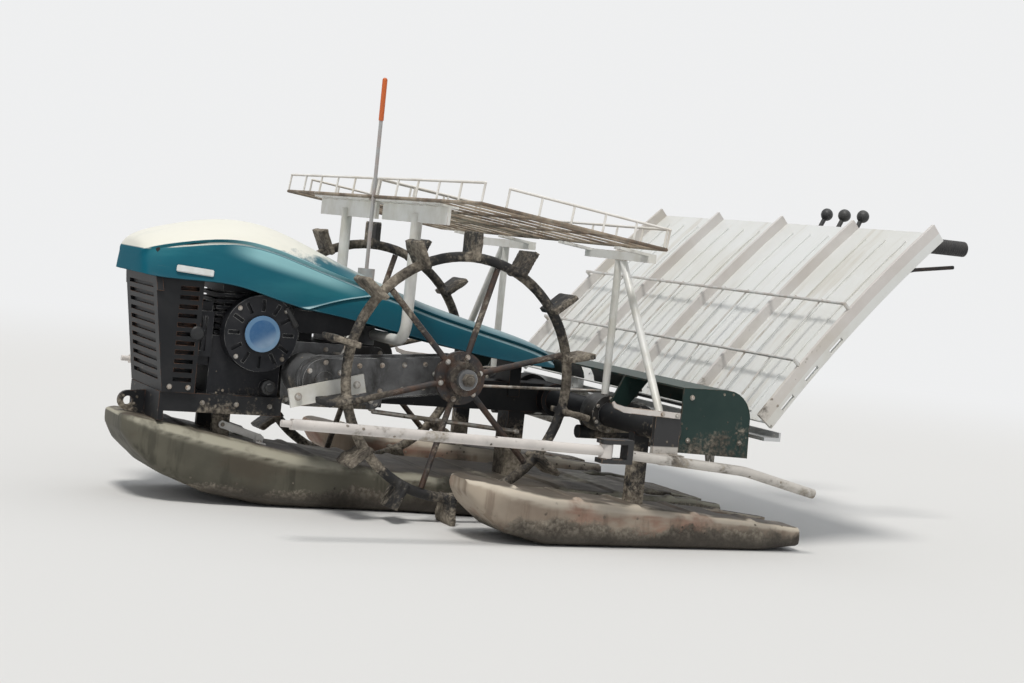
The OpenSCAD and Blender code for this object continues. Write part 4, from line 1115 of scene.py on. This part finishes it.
def wire_finish():
    wire = Finish("press_wire", (0.62, 0.62, 0.6), 0.35, 0.8)
    wire.mottle(40, (0.36, 0.27, 0.2), 0.5)
    return wire.done()


dress("tray", tray_finish("tray_plastic", (0.74, 0.755, 0.75), (0.66, 0.66, 0.62), 0.62))
dress("lane_walls", tray_finish("wall_plastic", (0.67, 0.645, 0.625), (0.55, 0.51, 0.475), 0.75))
dress("tray_press", wire_finish())
dress("tray_stand", black_paint)


# Racks. Two wire racks for spare seedling mats, cream-white, on bent posts with flat head
# plates in front and on splayed stays at the rear.

def rack_finish():
    wire = Finish("rack_white", (0.84, 0.82, 0.78), 0.4)
    wire.mottle(10, (0.62, 0.57, 0.48), 0.6)
    wire.worn((0.26, 0.14, 0.08), 0.8, 0.0, reach=0.0006, chips=0.66)
    under = wire.fade(wire.up, 0.1, -0.5)
    wire.layer(wire.product(under, 0.45), (0.34, 0.27, 0.21), 0.75)
    return wire.done()


def floor_finish():
    grid = Finish("rack_floor_mud", (0.62, 0.59, 0.52), 0.5)
    grid.mottle(14, (0.3, 0.22, 0.15), 0.95)
    grid.mud(None, 0.55, dry=(0.34, 0.27, 0.2), wet=(0.17, 0.12, 0.085))
    return grid.done()


rack_white = rack_finish()
floor_white = floor_finish()
for side in ("left", "right"):
    dress("rack_" + side, floor_white)
    dress("rack_rails_" + side, rack_white)
    dress("rack_post_" + side, white_paint)
    dress("rack_stay_" + side, white_paint)


# Side frames with guard tubes, and the folded line markers. All are pale painted tube, splashed
# with mud, and the frames have black forks that the markers turn in.

def tube_finish(name, colour, metallic, dark_fork):
    """Worn tube paint, and on the side frames black on the marker's fork and its bracket."""
    tube = Finish(name, colour, 0.42, metallic)
    tube.mottle(12, tuple(part * 0.7 for part in colour), 0.7)
    if dark_fork:
        fork = tube.product(tube.fade(tube.x, 0.1, 0.104), tube.fade(tube.x, 0.19, 0.186))
        bracket = tube.product(tube.fade(tube.z, 0.232, 0.236), tube.fade(tube.x, 0.06, 0.05))
        tube.layer(tube.calc("MAXIMUM", fork, bracket), (0.02, 0.02, 0.021), 0.5, 0.0)
    tube.worn((0.3, 0.2, 0.13), 0.75, 0.0, chips=0.64)
    tube.mud(0.42, 0.34)
    return tube.done()


marker_white = tube_finish("marker_white", (0.66, 0.62, 0.585), 0.0, False)
guard_tube = tube_finish("guard_tube", (0.57, 0.54, 0.50), 0.2, True)
for side in ("left", "right"):
    dress("marker_" + side, marker_white)
    dress("side_frame_" + side, guard_tube)


def add_latch(side, s):
    """Flat lever with a bent tip that holds the folded marker, on the side frame's plate."""
    face = 0.6057
    thickness = 0.004
    line = [(-0.024, 0.3035), (0.118, 0.3105), (0.142, 0.3180), (0.148, 0.3260)]
    half = 0.0065
    narrowed = (1, 1, 0.8, 0.5)
    corners = ((0, -1), (0, 1), (thickness, 1), (thickness, -1))
    build = bmesh.new()
    rings = []
    for k, (x, z) in enumerate(line):
        before = line[max(k - 1, 0)]
        after = line[min(k + 1, len(line) - 1)]
        along = Vector((after[0] - before[0], 0, after[1] - before[1])).normalized()
        up = Vector((-along.z, 0, along.x)) * half * narrowed[k]
        rings.append([build.verts.new(Vector((x, s * (face + out), z)) + up * way)
                      for out, way in corners])
    join_rings(build, rings)
    bmesh.ops.bevel(build, geom=build.edges[:], offset=0.0008, segments=2, affect="EDGES")
    mesh = finish_mesh("latch", build)
    add_piece("latch_" + side, mesh, "machine", marker_white, sharp=35)
    outside = s * (face + thickness)
    seats = [((x, outside, z), (0, s, 0)) for x, z in ((-0.016, 0.3039), (0.022, 0.3058))]
    add_bolts("latch_bolts_" + side, "machine", 0.005, seats)


for side, s in SIDES:
    add_latch(side, s)


# Handles. Black tubes with ribbed rubber grips, a control box with three levers between them,
# and the centre marker's pole with a red-orange tip on the hood.

def grip_finish():
    rubber = Finish("grip_rubber", (0.022, 0.022, 0.024), 0.7)
    rings = rubber.calc("SINE", rubber.product(rubber.x, 900))
    rubber.emboss(rings, 0.0006)
    rubber.mottle(30, (0.05, 0.047, 0.043), 0.6)
    return rubber.done()


def console_finish():
    plastic = Finish("console_plastic", (0.03, 0.032, 0.034), 0.5)
    plastic.emboss(plastic.noise(420, 2, 0.5), 0.00015)
    plastic.mottle(16, (0.07, 0.068, 0.062), 0.6)
    return plastic.done()


def pole_finish():
    pole = Finish("marker_pole", (0.4, 0.41, 0.41), 0.45, 0.5)
    tip = pole.fade(pole.z, 0.8945, 0.8955)
    pole.layer(tip, (0.60, 0.12, 0.02), 0.45)
    pole.mottle(30, (0.4, 0.14, 0.06), 0.25)
    return pole.done()


dress("handlebar", black_paint)
dress("grips", grip_finish())
dress("clutch_levers", black_paint)
dress("control_box", console_finish())
dress("centre_marker", pole_finish())


def add_console_details():
    """Rubber boots round the three levers, and screws in the corners of the box."""
    lid = 0.7045
    boot = [(0.019, 0), (0.019, 0.0085), (0.0145, 0.012), (0.0165, 0.0145), (0.0125, 0.018),
            (0.0140, 0.0205), (0.0100, 0.024), (0.0110, 0.026), (0.0080, 0.028)]
    lean = (-0.05, 0, 0.102)
    solids = [((-0.797, y, lid - 0.0085), lean, 24, boot) for y in (-0.08, 0, 0.08)]
    add_turned("lever_boots", "machine", grip_black, solids, sharp=50)
    seats = [((x, y, lid), (0, 0, 1)) for x in (-0.842, -0.758) for y in (-0.112, 0.112)]
    add_bolts("console_screws", "machine", 0.0035, seats)


add_console_details()
